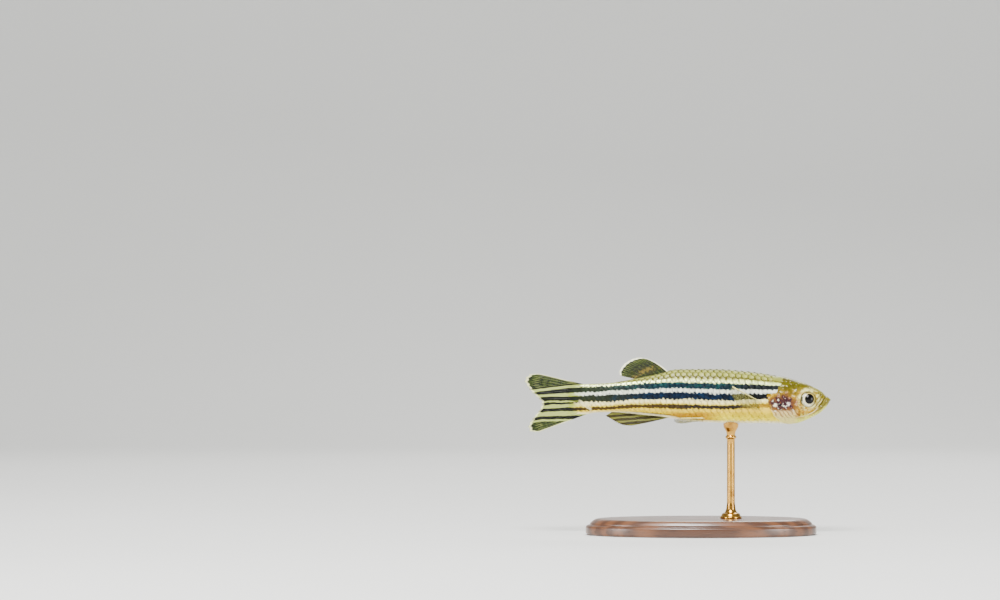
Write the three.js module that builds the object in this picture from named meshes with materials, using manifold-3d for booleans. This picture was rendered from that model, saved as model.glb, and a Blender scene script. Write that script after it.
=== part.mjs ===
// A life-size adult zebra danio, a slim striped fish about 45 mm long, swimming on a small display stand.
// Millimetres, +Z up. The fish looks along +X and its right side faces -Y. The origin is on the floor, under
// the middle of the fish's length. Places on the fish are given as s, the distance behind the snout, y, the
// distance to the side, and z, the height over the level of the eyes, and spot() turns them into the frame.
import * as THREE from "three";
import { mergeVertices } from "three/addons/utils/BufferGeometryUtils.js";
import Module from "manifold-3d";

const wasm = await Module();
wasm.setup();

// Driving dimensions
const totalLength = 45; // snout to the tips of the tail lobes
const bodyLength = 36.3; // snout to the end of the tail stalk, where the tail fin starts
const eyeLevel = 20; // height of the eyes over the floor
const gap = 0.25; // clearance kept between touching pieces
const ventPlace = 23.1; // where the trunk ends and the tail stalk begins
const tailSwing = 1.3; // how far the tail's end curves to the fish's left
const swingStart = 12; // the body is straight as far back as this

// Finish of each kind of surface
const finishes = {
  head: { color: 0xb9ac62, roughness: 0.35, metalness: 0 },
  flank: { color: 0xd9d3a4, roughness: 0.3, metalness: 0 },
  fin: { color: 0xcdd09a, roughness: 0.4, metalness: 0 },
  eye: { color: 0x16161a, roughness: 0.1, metalness: 0 },
  wood: { color: 0x3b271a, roughness: 0.5, metalness: 0 },
  brass: { color: 0xb08d4a, roughness: 0.3, metalness: 1 },
};

// A smooth line through [place, value] points. Its slopes are limited so that it never swings past them.
function smoothLine(points) {
  const last = points.length - 1;
  const rise = (i) => (points[i + 1][1] - points[i][1]) / (points[i + 1][0] - points[i][0]);
  const slopes = points.map((_, i) => {
    if (i === 0) return rise(0);
    if (i === last) return rise(last - 1);
    const before = rise(i - 1);
    const after = rise(i);
    return before * after <= 0 ? 0 : (2 * before * after) / (before + after);
  });
  return (place) => {
    let i = 0;
    while (i < last - 1 && place > points[i + 1][0]) i += 1;
    const width = points[i + 1][0] - points[i][0];
    const t = THREE.MathUtils.clamp((place - points[i][0]) / width, 0, 1);
    const start = (1 + 2 * t) * (1 - t) ** 2 * points[i][1] + t * (1 - t) ** 2 * width * slopes[i];
    const end = t * t * (3 - 2 * t) * points[i + 1][1] - t * t * (1 - t) * width * slopes[i + 1];
    return start + end;
  };
}

// The body's outline by s: height of the back and of the belly, half width, and height of the widest level
const back = smoothLine([
  [0, 0], [0.2, 0.22], [0.6, 0.45], [1.2, 1.07], [2.4, 1.76], [4, 2.45], [7.2, 3.34],
  [12, 4.1], [17, 4.47], [22.4, 4.44], [25.6, 3.66], [28.2, 3.12], [33.2, 2.32], [36.3, 2.2],
]);
const belly = smoothLine([
  [0, -0.25], [0.3, -0.8], [0.8, -1.42], [1.5, -2.05], [3.1, -2.9], [5, -3.58], [6.2, -3.7], [9, -3.62],
  [14, -3.62], [18, -3.48], [21.4, -3.24], [23.4, -2.85], [27.7, -2.38],
  [32.4, -2], [34.4, -2.05], [36.3, -2.35],
]);
const halfWidth = smoothLine([
  [0, 0.35], [0.3, 0.78], [1, 1.2], [2, 1.62], [3.3, 1.92], [5, 2.2], [7.2, 2.4], [9.2, 2.48],
  [12, 2.48], [16, 2.35], [20, 2.04], [24, 1.6], [28, 1.18], [32, 0.8], [36.3, 0.45],
]);
const widestLevel = smoothLine([[0, -0.12], [3.3, -0.2], [9, -0.35], [16, 0.1], [24, 0.4], [36.3, 0]]);
const backFullness = 0.95; // 1 is an ellipse's quarter, and less is squarer
const bellyFullness = 0.82;

// The gill cover: its free edge is half an ellipse in side view, and it stands a little proud of the flank
const gillCover = { s: 5, z: -0.4, reach: 4.2, rise: 4.5, drop: 3.4, swell: 0.14, swellFrom: 5, swellTo: 7.6 };
const eye = { s: 3.33, z: -0.05, radius: 1.13, depth: 0.82, outward: 1.45, turn: 0.19, rim: 0.14 };
const nostril = { s: 1.45, z: 0.62, radius: 0.17, rim: 0.07 };
const mouth = { s: 0.62, z: 0.42, cornerS: 1.78, cornerZ: -1.12, slit: 0.18, lip: 0.16, cornerLip: 0.09 };

// A place on the fish in the part's frame
function spot(s, y, z) {
  return new THREE.Vector3(totalLength / 2 - s, y, eyeLevel + z);
}

// How far the body's middle line curves to the left at a place along the part's own X
function swing(x) {
  const behind = Math.max(0, totalLength / 2 - x - swingStart);
  return tailSwing * (behind / (totalLength - swingStart)) ** 2;
}

// A point of the body's surface. The angle runs round the section, with 90 degrees on the back. grow moves
// the surface outwards, and swell raises the gill cover.
function bodyPoint(s, angle, grow, swell) {
  const across = Math.cos(angle);
  const up = Math.sin(angle);
  const level = widestLevel(s);
  const fullness = up > 0 ? backFullness : bellyFullness;
  const height = up > 0 ? back(s) - level : level - belly(s);
  const cover = swell * THREE.MathUtils.smoothstep(s, gillCover.swellFrom, gillCover.swellTo);
  const width = halfWidth(s) + grow + cover * Math.sqrt(Math.abs(across));
  return spot(s, Math.sign(across) * width * Math.abs(across) ** fullness, level + up * (height + grow));
}

// The half width of the body at a place s and a height z
function surfaceY(s, z) {
  const level = widestLevel(s);
  const height = z > level ? back(s) - level : level - belly(s);
  const up = Math.min(1, Math.abs(z - level) / height);
  return halfWidth(s) * Math.sqrt(1 - up * up) ** (z > level ? backFullness : bellyFullness);
}

// Moves a shape made flat, around a place on the plane y = 0, out onto the skin of one side of the body
function onSkin(geometry, side, s, z) {
  const middle = spot(s, 0, z);
  const place = geometry.translate(middle.x, 0, middle.z).attributes.position;
  for (let i = 0; i < place.count; i += 1) {
    const skin = surfaceY(totalLength / 2 - place.getX(i), place.getZ(i) - eyeLevel);
    place.setY(i, side * (skin + place.getY(i)));
  }
  return solid(geometry);
}

// A closed surface through rings of the same number of points. A ring's point i and point n - 1 - i face
// each other, so strips between them close both ends, and both halves are split into triangles alike.
function loft(rings) {
  const n = rings[0].length;
  const positions = rings.flat().flatMap((p) => [p.x, p.y, p.z]);
  const faces = [];
  for (let r = 0; r < rings.length - 1; r += 1) {
    for (let i = 0; i < n; i += 1) {
      const j = (i + 1) % n;
      const [a, b, c, d] = [r * n + i, r * n + j, (r + 1) * n + j, (r + 1) * n + i];
      if (i < n / 2) faces.push(a, b, c, a, c, d);
      else faces.push(a, b, d, b, c, d);
    }
  }
  const end = (rings.length - 1) * n;
  for (let i = 0; i < n / 2 - 1; i += 1) {
    const [a, b, c, d] = [i, i + 1, n - 2 - i, n - 1 - i];
    faces.push(a, d, b, b, d, c);
    faces.push(end + a, end + b, end + d, end + b, end + c, end + d);
  }
  const geometry = new THREE.BufferGeometry();
  geometry.setAttribute("position", new THREE.Float32BufferAttribute(positions, 3));
  geometry.setIndex(faces);
  return geometry;
}

// A solid for joining and cutting, from any closed three.js geometry
function solid(geometry) {
  const bare = geometry.clone();
  bare.deleteAttribute("normal");
  bare.deleteAttribute("uv");
  const merged = mergeVertices(bare, 1e-5);
  const vertProperties = merged.attributes.position.array;
  const triVerts = new Uint32Array(merged.index.array);
  const made = new wasm.Manifold(new wasm.Mesh({ numProp: 3, vertProperties, triVerts }));
  if (made.volume() > 0) return made;
  triVerts.reverse();
  return new wasm.Manifold(new wasm.Mesh({ numProp: 3, vertProperties, triVerts }));
}

// The largest piece of a solid
function largest(made) {
  return made.decompose().reduce((best, piece) => (piece.volume() > best.volume() ? piece : best));
}

// A solid back as a three.js geometry. Pieces of the fish follow the swing of its tail.
function geometryOf(made, swings) {
  const mesh = made.getMesh();
  const geometry = new THREE.BufferGeometry();
  geometry.setAttribute("position", new THREE.BufferAttribute(new Float32Array(mesh.vertProperties), 3));
  geometry.setIndex(new THREE.BufferAttribute(mesh.triVerts, 1));
  const place = geometry.attributes.position;
  for (let i = 0; swings && i < place.count; i += 1) place.setY(i, place.getY(i) + swing(place.getX(i)));
  geometry.computeVertexNormals();
  return geometry;
}

// Body
const bodyRings = 54;
const bodySides = 36;

function bodySolid(grow, swell) {
  const rings = [];
  for (let r = 0; r <= bodyRings; r += 1) {
    const s = bodyLength * (r / bodyRings) ** 1.6; // closer together at the snout
    const ring = [];
    for (let i = 0; i < bodySides; i += 1) {
      ring.push(bodyPoint(s, Math.PI / 2 + ((i + 0.5) / bodySides) * 2 * Math.PI, grow, swell));
    }
    rings.push(ring);
  }
  return solid(loft(rings));
}

// All that lies ahead of the gill cover's free edge, moved back by grow
function headBlock(grow) {
  const middle = spot(gillCover.s, 0, gillCover.z);
  const far = 30;
  const shape = new THREE.Shape();
  shape.moveTo(far, middle.z - far);
  shape.lineTo(middle.x, middle.z - far);
  shape.lineTo(middle.x, middle.z - gillCover.drop - grow);
  const reach = gillCover.reach + grow;
  shape.absellipse(middle.x, middle.z, reach, gillCover.drop + grow, 1.5 * Math.PI, Math.PI, true);
  shape.absellipse(middle.x, middle.z, reach, gillCover.rise + grow, Math.PI, 0.5 * Math.PI, true);
  shape.lineTo(middle.x, middle.z + far);
  shape.lineTo(far, middle.z + far);
  const block = new THREE.ExtrudeGeometry(shape, { depth: far, bevelEnabled: false, curveSegments: 20 });
  return solid(block.rotateX(Math.PI / 2).translate(0, far / 2, 0));
}

// All that lies behind a place along the body
function behind(s) {
  const size = 60;
  return solid(new THREE.BoxGeometry(size, size, size).translate(spot(s, 0, 0).x - size / 2, 0, eyeLevel));
}

// A round bar through points, with a radius for each point
function bar(points, radii, sides) {
  const path = new THREE.CatmullRomCurve3(points);
  const frames = path.computeFrenetFrames(points.length - 1, false);
  const rings = points.map((point, p) => {
    const ring = [];
    for (let i = 0; i < sides; i += 1) {
      const angle = ((i + 0.5) / sides) * 2 * Math.PI;
      const out = frames.normals[p].clone().multiplyScalar(Math.cos(angle) * radii[p]);
      out.addScaledVector(frames.binormals[p], Math.sin(angle) * radii[p]);
      ring.push(point.clone().add(out));
    }
    return ring;
  });
  return solid(loft(rings));
}

// Head
// An eye is a flattened ball that looks out square to the side of the head, so it is turned to the front
function placeEye(geometry, side) {
  const middle = spot(eye.s, side * eye.outward, eye.z);
  return solid(geometry.rotateZ(-side * eye.turn).translate(middle.x, middle.y, middle.z));
}

function eyeball(side, grow) {
  const ball = new THREE.SphereGeometry(1, 24, 12);
  return placeEye(ball.scale(eye.radius + grow, eye.depth + grow, eye.radius + grow), side);
}

// The eye's place in the head opens outwards from the eyeball's widest ring
function eyeSocket(side) {
  const mouthLength = 2;
  const radius = eye.radius + gap;
  const opening = new THREE.CylinderGeometry(radius, radius, mouthLength, 24);
  return eyeball(side, gap).add(placeEye(opening.translate(0, (side * mouthLength) / 2, 0), side));
}

function eyeRim(side) {
  const ring = new THREE.TorusGeometry(eye.radius + gap + eye.rim * 0.5, eye.rim, 5, 24);
  return onSkin(ring.rotateX(Math.PI / 2), side, eye.s, eye.z);
}

// The mouth's line climbs steeply from its corners to the snout. mouthSlope is its fall for each mm back.
const mouthSlope = (mouth.cornerZ - mouth.z) / (mouth.cornerS - mouth.s);
const mouthTilt = Math.atan(mouthSlope);

// A lip follows the mouth's line round the snout, on the side of it that above gives as 1 or -1
function lip(above, grow) {
  const steps = 10;
  const points = [];
  const radii = [];
  for (let i = -steps; i <= steps; i += 1) {
    const reach = (i / steps) ** 2;
    const s = mouth.s + (mouth.cornerS - mouth.s) * reach;
    const z = mouth.z + (s - mouth.s) * mouthSlope;
    const offset = above * (mouth.slit / 2 + mouth.lip * 0.5);
    const y = Math.sign(i) * (surfaceY(s, z) - 0.04);
    points.push(spot(s - offset * Math.sin(mouthTilt), y, z + offset * Math.cos(mouthTilt)));
    radii.push(THREE.MathUtils.lerp(mouth.lip, mouth.cornerLip, reach) + grow);
  }
  return bar(points, radii, 6);
}

function mouthSlit() {
  const length = 2 * Math.hypot(mouth.cornerS - mouth.s, mouth.cornerZ - mouth.z);
  const plate = new THREE.BoxGeometry(length, 12, mouth.slit);
  const front = spot(mouth.s, 0, mouth.z);
  return solid(plate.rotateY(mouthTilt).translate(front.x, 0, front.z));
}

function nostrilRim(side) {
  const ring = new THREE.TorusGeometry(nostril.radius + nostril.rim / 2, nostril.rim, 5, 12);
  return onSkin(ring.rotateX(Math.PI / 2), side, nostril.s, nostril.z);
}

function nostrilPit(side) {
  return onSkin(new THREE.SphereGeometry(nostril.radius, 10, 8), side, nostril.s, nostril.z);
}

function makeHead() {
  let head = bodySolid(0, gillCover.swell).intersect(headBlock(0));
  head = head.add(lip(1, 0)).add(lip(-1, 0));
  for (const side of [-1, 1]) head = head.add(eyeRim(side)).add(nostrilRim(side));
  head = head.subtract(mouthSlit());
  for (const side of [-1, 1]) head = head.subtract(eyeSocket(side)).subtract(nostrilPit(side));
  return largest(head);
}

// Fins
// A fin is a fan of rays from a root line to a tip line, each a curve through points of the part's frame,
// with the first point on the leading ray. Every ray is a ridge on both faces of the membrane, and the
// membrane's edge falls a little short of the rays' tips. across is the direction through the fin. bow moves
// the middle of the leading ray, and less of the rays behind it.
const finThickness = { ray: 0.66, membrane: 0.46, tip: 0.24 };
const membraneReach = 0.97;
const finRows = [0, 0.3, 0.6, 0.85, 1];

function fin({ root, tip, rays, across, bow }) {
  const rootLine = new THREE.CatmullRomCurve3(root);
  const tipLine = new THREE.CatmullRomCurve3(tip);
  const columns = 2 * rays - 1;
  const through = across.clone().normalize();
  const rings = finRows.map((row) => {
    const taper = THREE.MathUtils.smoothstep(row, 0.7, 1);
    const upper = [];
    const lower = [];
    for (let c = 0; c < columns; c += 1) {
      const onRay = c % 2 === 0;
      const t = c / (columns - 1);
      const reach = onRay ? row : row * membraneReach;
      const middle = rootLine.getPointAt(t).lerp(tipLine.getPointAt(t), reach);
      middle.addScaledVector(bow, (1 - t) * 4 * row * (1 - row));
      const rootThickness = onRay ? finThickness.ray : finThickness.membrane;
      const thick = THREE.MathUtils.lerp(rootThickness, finThickness.tip, taper);
      upper.push(middle.clone().addScaledVector(through, thick / 2));
      lower.unshift(middle.clone().addScaledVector(through, -thick / 2));
    }
    return upper.concat(lower);
  });
  return solid(loft(rings));
}

// Points on the fish's middle plane from [s, z] pairs, and points by one side from [s, out, z], where out is
// the distance from the skin
const midline = (pairs) => pairs.map(([s, z]) => spot(s, 0, z));
const beside = (side, places) => places.map(([s, out, z]) => spot(s, side * (surfaceY(s, z) + out), z));

const sideways = new THREE.Vector3(0, 1, 0);
const straight = new THREE.Vector3(0, 0, 0);
const finStart = bodyLength + gap;

function makeTailFinUpper() {
  const root = midline([[finStart, 2.15], [finStart, 0.05]]);
  const tip = midline([
    [43, 3.72], [44.4, 3.5], [45, 2.75], [44.65, 1.96], [43.97, 1.03], [43.1, 0.22], [42.5, -0.4],
  ]);
  return fin({ root, tip, rays: 10, across: sideways, bow: new THREE.Vector3(0, 0, -0.12) });
}

function makeTailFinLower() {
  const root = midline([[finStart, -2.35], [finStart, -0.22]]);
  const tip = midline([
    [42.9, -4.9], [44.2, -4.78], [44.45, -4.1], [44.07, -3.3], [43.4, -2.4], [42.7, -1.5], [42.5, -0.68],
  ]);
  return fin({ root, tip, rays: 9, across: sideways, bow: new THREE.Vector3(0, 0, 0.12) });
}

function makeDorsalFin(skin) {
  const sunk = 0.6;
  const root = midline([23.8, 25.3, 26.7, 28.2].map((s) => [s, back(s) - sunk]));
  const tip = midline([
    [27.1, 5.98], [28.1, 6.12], [29.2, 5.86], [30.2, 5.28], [30.85, 4.5], [31.05, 3.9], [30.9, 3.42],
  ]);
  const made = fin({ root, tip, rays: 9, across: sideways, bow: new THREE.Vector3(0.12, 0, 0.22) });
  return largest(made.subtract(skin));
}

function makeAnalFin(skin) {
  const root = midline([[23.1, -2.72], [26, -2.1], [29, -1.8], [31.6, -1.6]]);
  const tip = midline([[29.5, -3.98], [30.6, -3.88], [31.5, -3.5], [32.2, -3.05], [33.1, -2.55]]);
  const made = fin({ root, tip, rays: 13, across: sideways, bow: new THREE.Vector3(0, 0, -0.1) });
  return largest(made.subtract(skin));
}

function makePectoralFin(side, skin) {
  const root = beside(side, [[10, -0.5, -0.95], [10.4, -0.5, -1.85]]);
  const tip = beside(side, [
    [14.6, 1.75, 2], [15.05, 1.85, 1.5], [14.9, 1.75, 0.8], [14.2, 1.6, -0.1], [13.1, 1.3, -1],
  ]);
  const across = new THREE.Vector3(-0.32, side, -0.1);
  const made = fin({ root, tip, rays: 10, across, bow: straight });
  return largest(made.subtract(skin));
}

function makePelvicFin(side, skin) {
  const root = [spot(18.2, side * 1.2, -2.6), spot(18.6, side * 0.5, -2.95)];
  const tip = [[22.2, 2.65, -2.7], [22.9, 2.4, -3.05], [22.95, 2, -3.35], [22.3, 1.45, -3.6]];
  const tipLine = tip.map(([s, y, z]) => spot(s, side * y, z));
  const across = new THREE.Vector3(-0.15, side * 0.62, -1);
  const made = fin({ root, tip: tipLine, rays: 7, across, bow: straight });
  return largest(made.subtract(skin));
}

// Barbels: two soft feelers on each side, one from the snout's edge and one from the corner of the mouth
const barbelRadius = { root: 0.25, tip: 0.09 };
const barbelSides = 6;

function barbel(side, places, skin) {
  const steps = 9;
  const points = new THREE.CatmullRomCurve3(beside(side, places)).getSpacedPoints(steps);
  const radii = points.map((_, i) => THREE.MathUtils.lerp(barbelRadius.root, barbelRadius.tip, i / steps));
  return largest(bar(points, radii, barbelSides).subtract(skin));
}

const frontBarbel = [
  [1.3, -0.25, 0], [1.3, 0.45, -0.1], [1.5, 0.72, -0.4], [1.95, 0.75, -0.85], [2.5, 0.72, -1.3],
];
const rearBarbel = [
  [1.9, -0.25, -1.25], [1.95, 0.4, -1.45], [2.8, 0.62, -2.05],
  [4.3, 0.75, -2.55], [5.8, 0.8, -2.75], [7, 0.8, -2.75],
];

// Display stand
const base = { middle: 3.5, halfLength: 17, halfWidth: 9, height: 2.4, edge: 0.5 };
const rod = { s: 14.6, radius: 0.6, foot: 1.6, footHeight: 0.7, cup: 1.15, cupHeight: 0.9 };

function makeBase() {
  const profile = [
    [0, 0], [base.halfLength - base.edge / 2, 0], [base.halfLength, base.edge / 2],
    [base.halfLength, base.height - base.edge * 1.6],
    [base.halfLength - base.edge, base.height - base.edge * 0.5],
    [base.halfLength - base.edge * 2, base.height], [0, base.height],
  ];
  const disc = new THREE.LatheGeometry(profile.map(([r, z]) => new THREE.Vector2(r, z)), 48);
  disc.rotateX(Math.PI / 2).scale(1, base.halfWidth / base.halfLength, 1);
  return solid(disc.translate(base.middle, 0, 0));
}

// A turned brass rod: a round foot on the base, a slim stem, and a small cup that takes the shape of the belly
function makeRod(skin) {
  const foot = base.height + gap;
  const top = eyeLevel + belly(rod.s) + 0.6;
  const neck = top - rod.cupHeight - 0.5;
  const profile = [
    [0, foot], [rod.foot, foot], [rod.foot, foot + rod.footHeight * 0.5],
    [rod.foot * 0.72, foot + rod.footHeight], [rod.radius, foot + rod.footHeight * 1.7], [rod.radius, neck],
    [rod.cup, neck + rod.cupHeight], [rod.cup, top], [0, top],
  ];
  const turned = new THREE.LatheGeometry(profile.map(([r, z]) => new THREE.Vector2(r, z)), 20);
  turned.rotateX(Math.PI / 2);
  const place = spot(rod.s, swing(spot(rod.s, 0, 0).x), 0);
  return largest(solid(turned.translate(place.x, place.y, 0)).subtract(skin));
}

// Assembly
const fish = new THREE.Group();

function add(name, made, finish, swings) {
  const mesh = new THREE.Mesh(geometryOf(made, swings), new THREE.MeshStandardMaterial(finishes[finish]));
  mesh.name = name;
  fish.add(mesh);
}

const plainBody = bodySolid(0, 0);
const clearance = bodySolid(gap, gillCover.swell); // the body with the gap that its neighbours keep
const headClearance = clearance.add(lip(1, gap)).add(lip(-1, gap));
const trunkAndTail = plainBody.subtract(headBlock(gap));

add("head", makeHead(), "head", true);
add("trunk", largest(trunkAndTail.subtract(behind(ventPlace))), "flank", true);
add("tail_stalk", largest(trunkAndTail.intersect(behind(ventPlace + gap))), "flank", true);
add("tail_fin_upper", makeTailFinUpper(), "fin", true);
add("tail_fin_lower", makeTailFinLower(), "fin", true);
add("dorsal_fin", makeDorsalFin(clearance), "fin", true);
add("anal_fin", makeAnalFin(clearance), "fin", true);
for (const [name, side] of [["right", -1], ["left", 1]]) {
  add(`pectoral_fin_${name}`, makePectoralFin(side, clearance), "fin", true);
  add(`pelvic_fin_${name}`, makePelvicFin(side, clearance), "fin", true);
  add(`eye_${name}`, eyeball(side, 0), "eye", true);
  add(`barbel_front_${name}`, barbel(side, frontBarbel, headClearance), "head", true);
  add(`barbel_rear_${name}`, barbel(side, rearBarbel, headClearance), "head", true);
}
add("stand_base", makeBase(), "wood", false);
add("stand_rod", makeRod(clearance), "brass", false);

export default fish;
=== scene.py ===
# %% [markdown]
# A zebra danio on a small stand
#
# The object is a life-size model of a zebra danio, a slim striped fish about 45 mm long. It swims to the right on a
# brass rod over a wooden base. The real fish is a scaled skin with thin rayed fins, and its stripes run from the
# gill cover to the end of the tail. The lesson makes each of these as a surface worked out with numpy, sets it
# inside the fixed frame of plain solids, and paints it with procedural materials.

# %% Load the frame
import math

import bpy
import numpy as np
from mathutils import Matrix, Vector


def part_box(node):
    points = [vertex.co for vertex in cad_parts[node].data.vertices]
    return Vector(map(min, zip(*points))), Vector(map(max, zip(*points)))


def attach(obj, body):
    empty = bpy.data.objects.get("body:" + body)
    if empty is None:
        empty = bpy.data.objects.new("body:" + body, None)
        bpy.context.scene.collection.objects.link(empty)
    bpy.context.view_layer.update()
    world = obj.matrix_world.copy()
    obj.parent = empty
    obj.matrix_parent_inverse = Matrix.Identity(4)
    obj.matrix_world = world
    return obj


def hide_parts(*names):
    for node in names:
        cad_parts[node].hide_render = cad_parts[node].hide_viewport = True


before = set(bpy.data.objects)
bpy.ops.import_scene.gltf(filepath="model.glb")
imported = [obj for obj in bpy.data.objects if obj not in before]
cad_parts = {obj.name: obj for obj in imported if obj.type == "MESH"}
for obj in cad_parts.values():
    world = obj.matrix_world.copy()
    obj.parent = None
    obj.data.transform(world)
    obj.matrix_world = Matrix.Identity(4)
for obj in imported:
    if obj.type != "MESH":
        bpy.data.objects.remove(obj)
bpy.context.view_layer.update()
MM = 0.001

# %% [markdown]
# Places on the fish
#
# A fish is measured from its snout, so a place on it is s, the distance behind the snout, y, the distance to the
# left, and z, the height over the eyes, all in millimetres. The frame has the snout at its far +X end and the eyes
# 20 mm over the floor. Body and tail curve a little to the left, which is added last, when a piece is made.

# %% Snout, eye level and the tail's swing
TOTAL_LENGTH = 45
EYE_LEVEL = 20
SNOUT_X = TOTAL_LENGTH / 2
TAIL_SWING = 1.3
SWING_START = 12
SIDES = {"right": -1, "left": 1}


def in_frame(s, y, z):
    """Turns places on the fish into the frame: X falls with s, and Y gains a curve that grows with the square."""
    behind = np.maximum(0, s - SWING_START)
    swing = TAIL_SWING * (behind / (TOTAL_LENGTH - SWING_START)) ** 2
    return np.stack(np.broadcast_arrays(SNOUT_X - s, y + swing, EYE_LEVEL + z), axis=-1)


head_box = [[round(float(v) / MM, 2) for v in corner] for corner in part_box("head")]
print("the head's solid spans, in mm:", head_box)

# %% Helpers for curves and steps


def smooth_line(points):
    """A curve through (place, value) points: a cubic between neighbours, whose slope at each point is the harmonic
    mean of the rises on both sides, or zero where these differ in sign, so that the curve never swings past."""
    places, values = np.array(points, dtype=float).T
    rises = np.diff(values) / np.diff(places)
    before, after = rises[:-1], rises[1:]
    inner = np.where(before * after > 0, 2 * before * after / np.where(before + after == 0, 1, before + after), 0)
    slopes = np.concatenate([rises[:1], inner, rises[-1:]])

    def line(place):
        place = np.clip(place, places[0], places[-1])
        i = np.clip(np.searchsorted(places, place, side="right") - 1, 0, len(places) - 2)
        width = places[i + 1] - places[i]
        t = (place - places[i]) / width
        start = (1 + 2 * t) * (1 - t) ** 2 * values[i] + t * (1 - t) ** 2 * width * slopes[i]
        return start + t * t * (3 - 2 * t) * values[i + 1] - t * t * (1 - t) * width * slopes[i + 1]

    return line


def step(value, low, high):
    """0 below low, 1 above high, and a smooth S between them."""
    t = np.clip((value - low) / (high - low), 0, 1)
    return t * t * (3 - 2 * t)


def bell(distance, width):
    """A bump that is 1 at distance zero and fades over about the width."""
    return np.exp(-((distance / width) ** 2))


def along_curve(points, t):
    """Places at the fractions t of the length of a smooth curve through the points."""
    points = np.array(points, dtype=float)
    chords = np.concatenate([[0], np.cumsum(np.sqrt(np.linalg.norm(np.diff(points, axis=0), axis=1)))])
    fine = np.linspace(0, chords[-1], 400)
    tangents = np.gradient(points, chords, axis=0)
    i = np.clip(np.searchsorted(chords, fine, side="right") - 1, 0, len(points) - 2)
    width = (chords[i + 1] - chords[i])[:, None]
    u = (fine - chords[i])[:, None] / width
    path = (1 + 2 * u) * (1 - u) ** 2 * points[i] + u * (1 - u) ** 2 * width * tangents[i]
    path = path + u * u * (3 - 2 * u) * points[i + 1] - u * u * (1 - u) * width * tangents[i + 1]
    lengths = np.concatenate([[0], np.cumsum(np.linalg.norm(np.diff(path, axis=0), axis=1))])
    return np.stack([np.interp(t, lengths / lengths[-1], path[:, axis]) for axis in range(3)], axis=-1)


print("a smooth step at a quarter, a half and three quarters:", step(np.array([0.25, 0.5, 0.75]), 0, 1))

# %% [markdown]
# Helpers for meshes
#
# A grid of points becomes a mesh of quads. Each piece is put straight into the frame with its place in its mesh, and
# carries named numbers on its points, such as how far along the fish a point lies, for the materials to read.

# %% Grids and pieces


def grid_faces(rows, columns, closed=False):
    """Quads of a grid of points numbered row by row. A closed grid's last column joins its first."""
    r, c = np.meshgrid(np.arange(rows - 1), np.arange(columns if closed else columns - 1), indexing="ij")
    after = (c + 1) % columns
    quads = [r * columns + c, r * columns + after, (r + 1) * columns + after, (r + 1) * columns + c]
    return np.stack(quads, axis=-1).reshape(-1, 4)


def closed_faces(rows, sides):
    """Quads of a grid that is closed round its columns, and fans that join its ends to the two points numbered
    after it."""
    count = rows * sides
    here = np.arange(sides)
    after = (here + 1) % sides
    start = np.stack([np.full(sides, count), after, here], axis=-1)
    end = np.stack([np.full(sides, count + 1), count - sides + here, count - sides + after], axis=-1)
    return grid_faces(rows, sides, closed=True).tolist() + start.tolist() + end.tolist()


def make_piece(name, points, faces, material, values=None, corner_uv=None):
    """Makes a smooth mesh from points in millimetres and lists of faces, riding on the fish's one body. The volume
    that the faces enclose tells whether they face outwards, and they are turned round if they don't."""
    faces = [list(map(int, face)) for face in faces]
    mesh = bpy.data.meshes.new(name)
    mesh.from_pydata(points * MM, [], faces)
    mesh.update()
    mesh.calc_loop_triangles()
    corners = np.empty(len(mesh.loop_triangles) * 3, dtype=np.int32)
    mesh.loop_triangles.foreach_get("vertices", corners)
    a, b, c = points[corners.reshape(-1, 3)].transpose(1, 0, 2)
    if np.einsum("ij,ij->i", a, np.cross(b, c)).sum() < 0:
        mesh.flip_normals()
        if corner_uv is not None:
            corner_uv = corner_uv[:, [0, 3, 2, 1]] if corner_uv.shape[1] == 4 else corner_uv[:, [0, 2, 1]]
    mesh.polygons.foreach_set("use_smooth", np.ones(len(faces), dtype=bool))
    for key, value in (values or {}).items():
        data = mesh.attributes.new(key, "FLOAT", "POINT").data
        data.foreach_set("value", np.asarray(value, dtype=np.float32).ravel())
    if corner_uv is not None:
        layer = mesh.uv_layers.new(name="OFBake")
        layer.data.foreach_set("uv", corner_uv.reshape(-1, 2).astype(np.float32).ravel())
    mesh.materials.append(material)
    piece = bpy.data.objects.new(name, mesh)
    bpy.context.scene.collection.objects.link(piece)
    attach(piece, "root")
    print(f"{name}: {len(points)} points, {len(faces)} faces")
    return piece


print("a grid of 3 by 4 points has", len(grid_faces(3, 4)), "quads")

# %% [markdown]
# Helpers for materials
#
# Every finish here is a tree of shader nodes. Written out node by node, a finish of fifty sums can't be read. So a
# small class stands for whatever a node puts out, and adding or multiplying two such values adds the Math node that
# does it. Colours are written as they look on a screen, from 0 to 255, and turned into light.

# %% Values that nodes put out


class Value:
    """A number, mask or colour that a node puts out. Sums with it are done by Math nodes."""

    def __init__(self, socket):
        self.socket = socket

    def __add__(self, other):
        return sums("ADD", self, other)

    def __radd__(self, other):
        return sums("ADD", other, self)

    def __sub__(self, other):
        return sums("SUBTRACT", self, other)

    def __rsub__(self, other):
        return sums("SUBTRACT", other, self)

    def __mul__(self, other):
        return sums("MULTIPLY", self, other)

    def __truediv__(self, other):
        return sums("DIVIDE", self, other)

    def __abs__(self):
        return sums("ABSOLUTE", self)


def tree_of(*values):
    """The node tree of the first Value among these."""
    return next(value.socket.id_data for value in values if isinstance(value, Value))


def plug(value, socket):
    """Leads a Value to a socket, or sets the socket to a plain number."""
    if isinstance(value, Value):
        socket.id_data.links.new(value.socket, socket)
    else:
        socket.default_value = value


def add_node(tree, kind, inputs=None, **settings):
    """Adds a node, sets its properties, and fills its inputs by name or number."""
    made = tree.nodes.new(kind)
    for key, value in settings.items():
        setattr(made, key, value)
    for key, value in (inputs or {}).items():
        plug(value, made.inputs[key])
    return made


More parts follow.
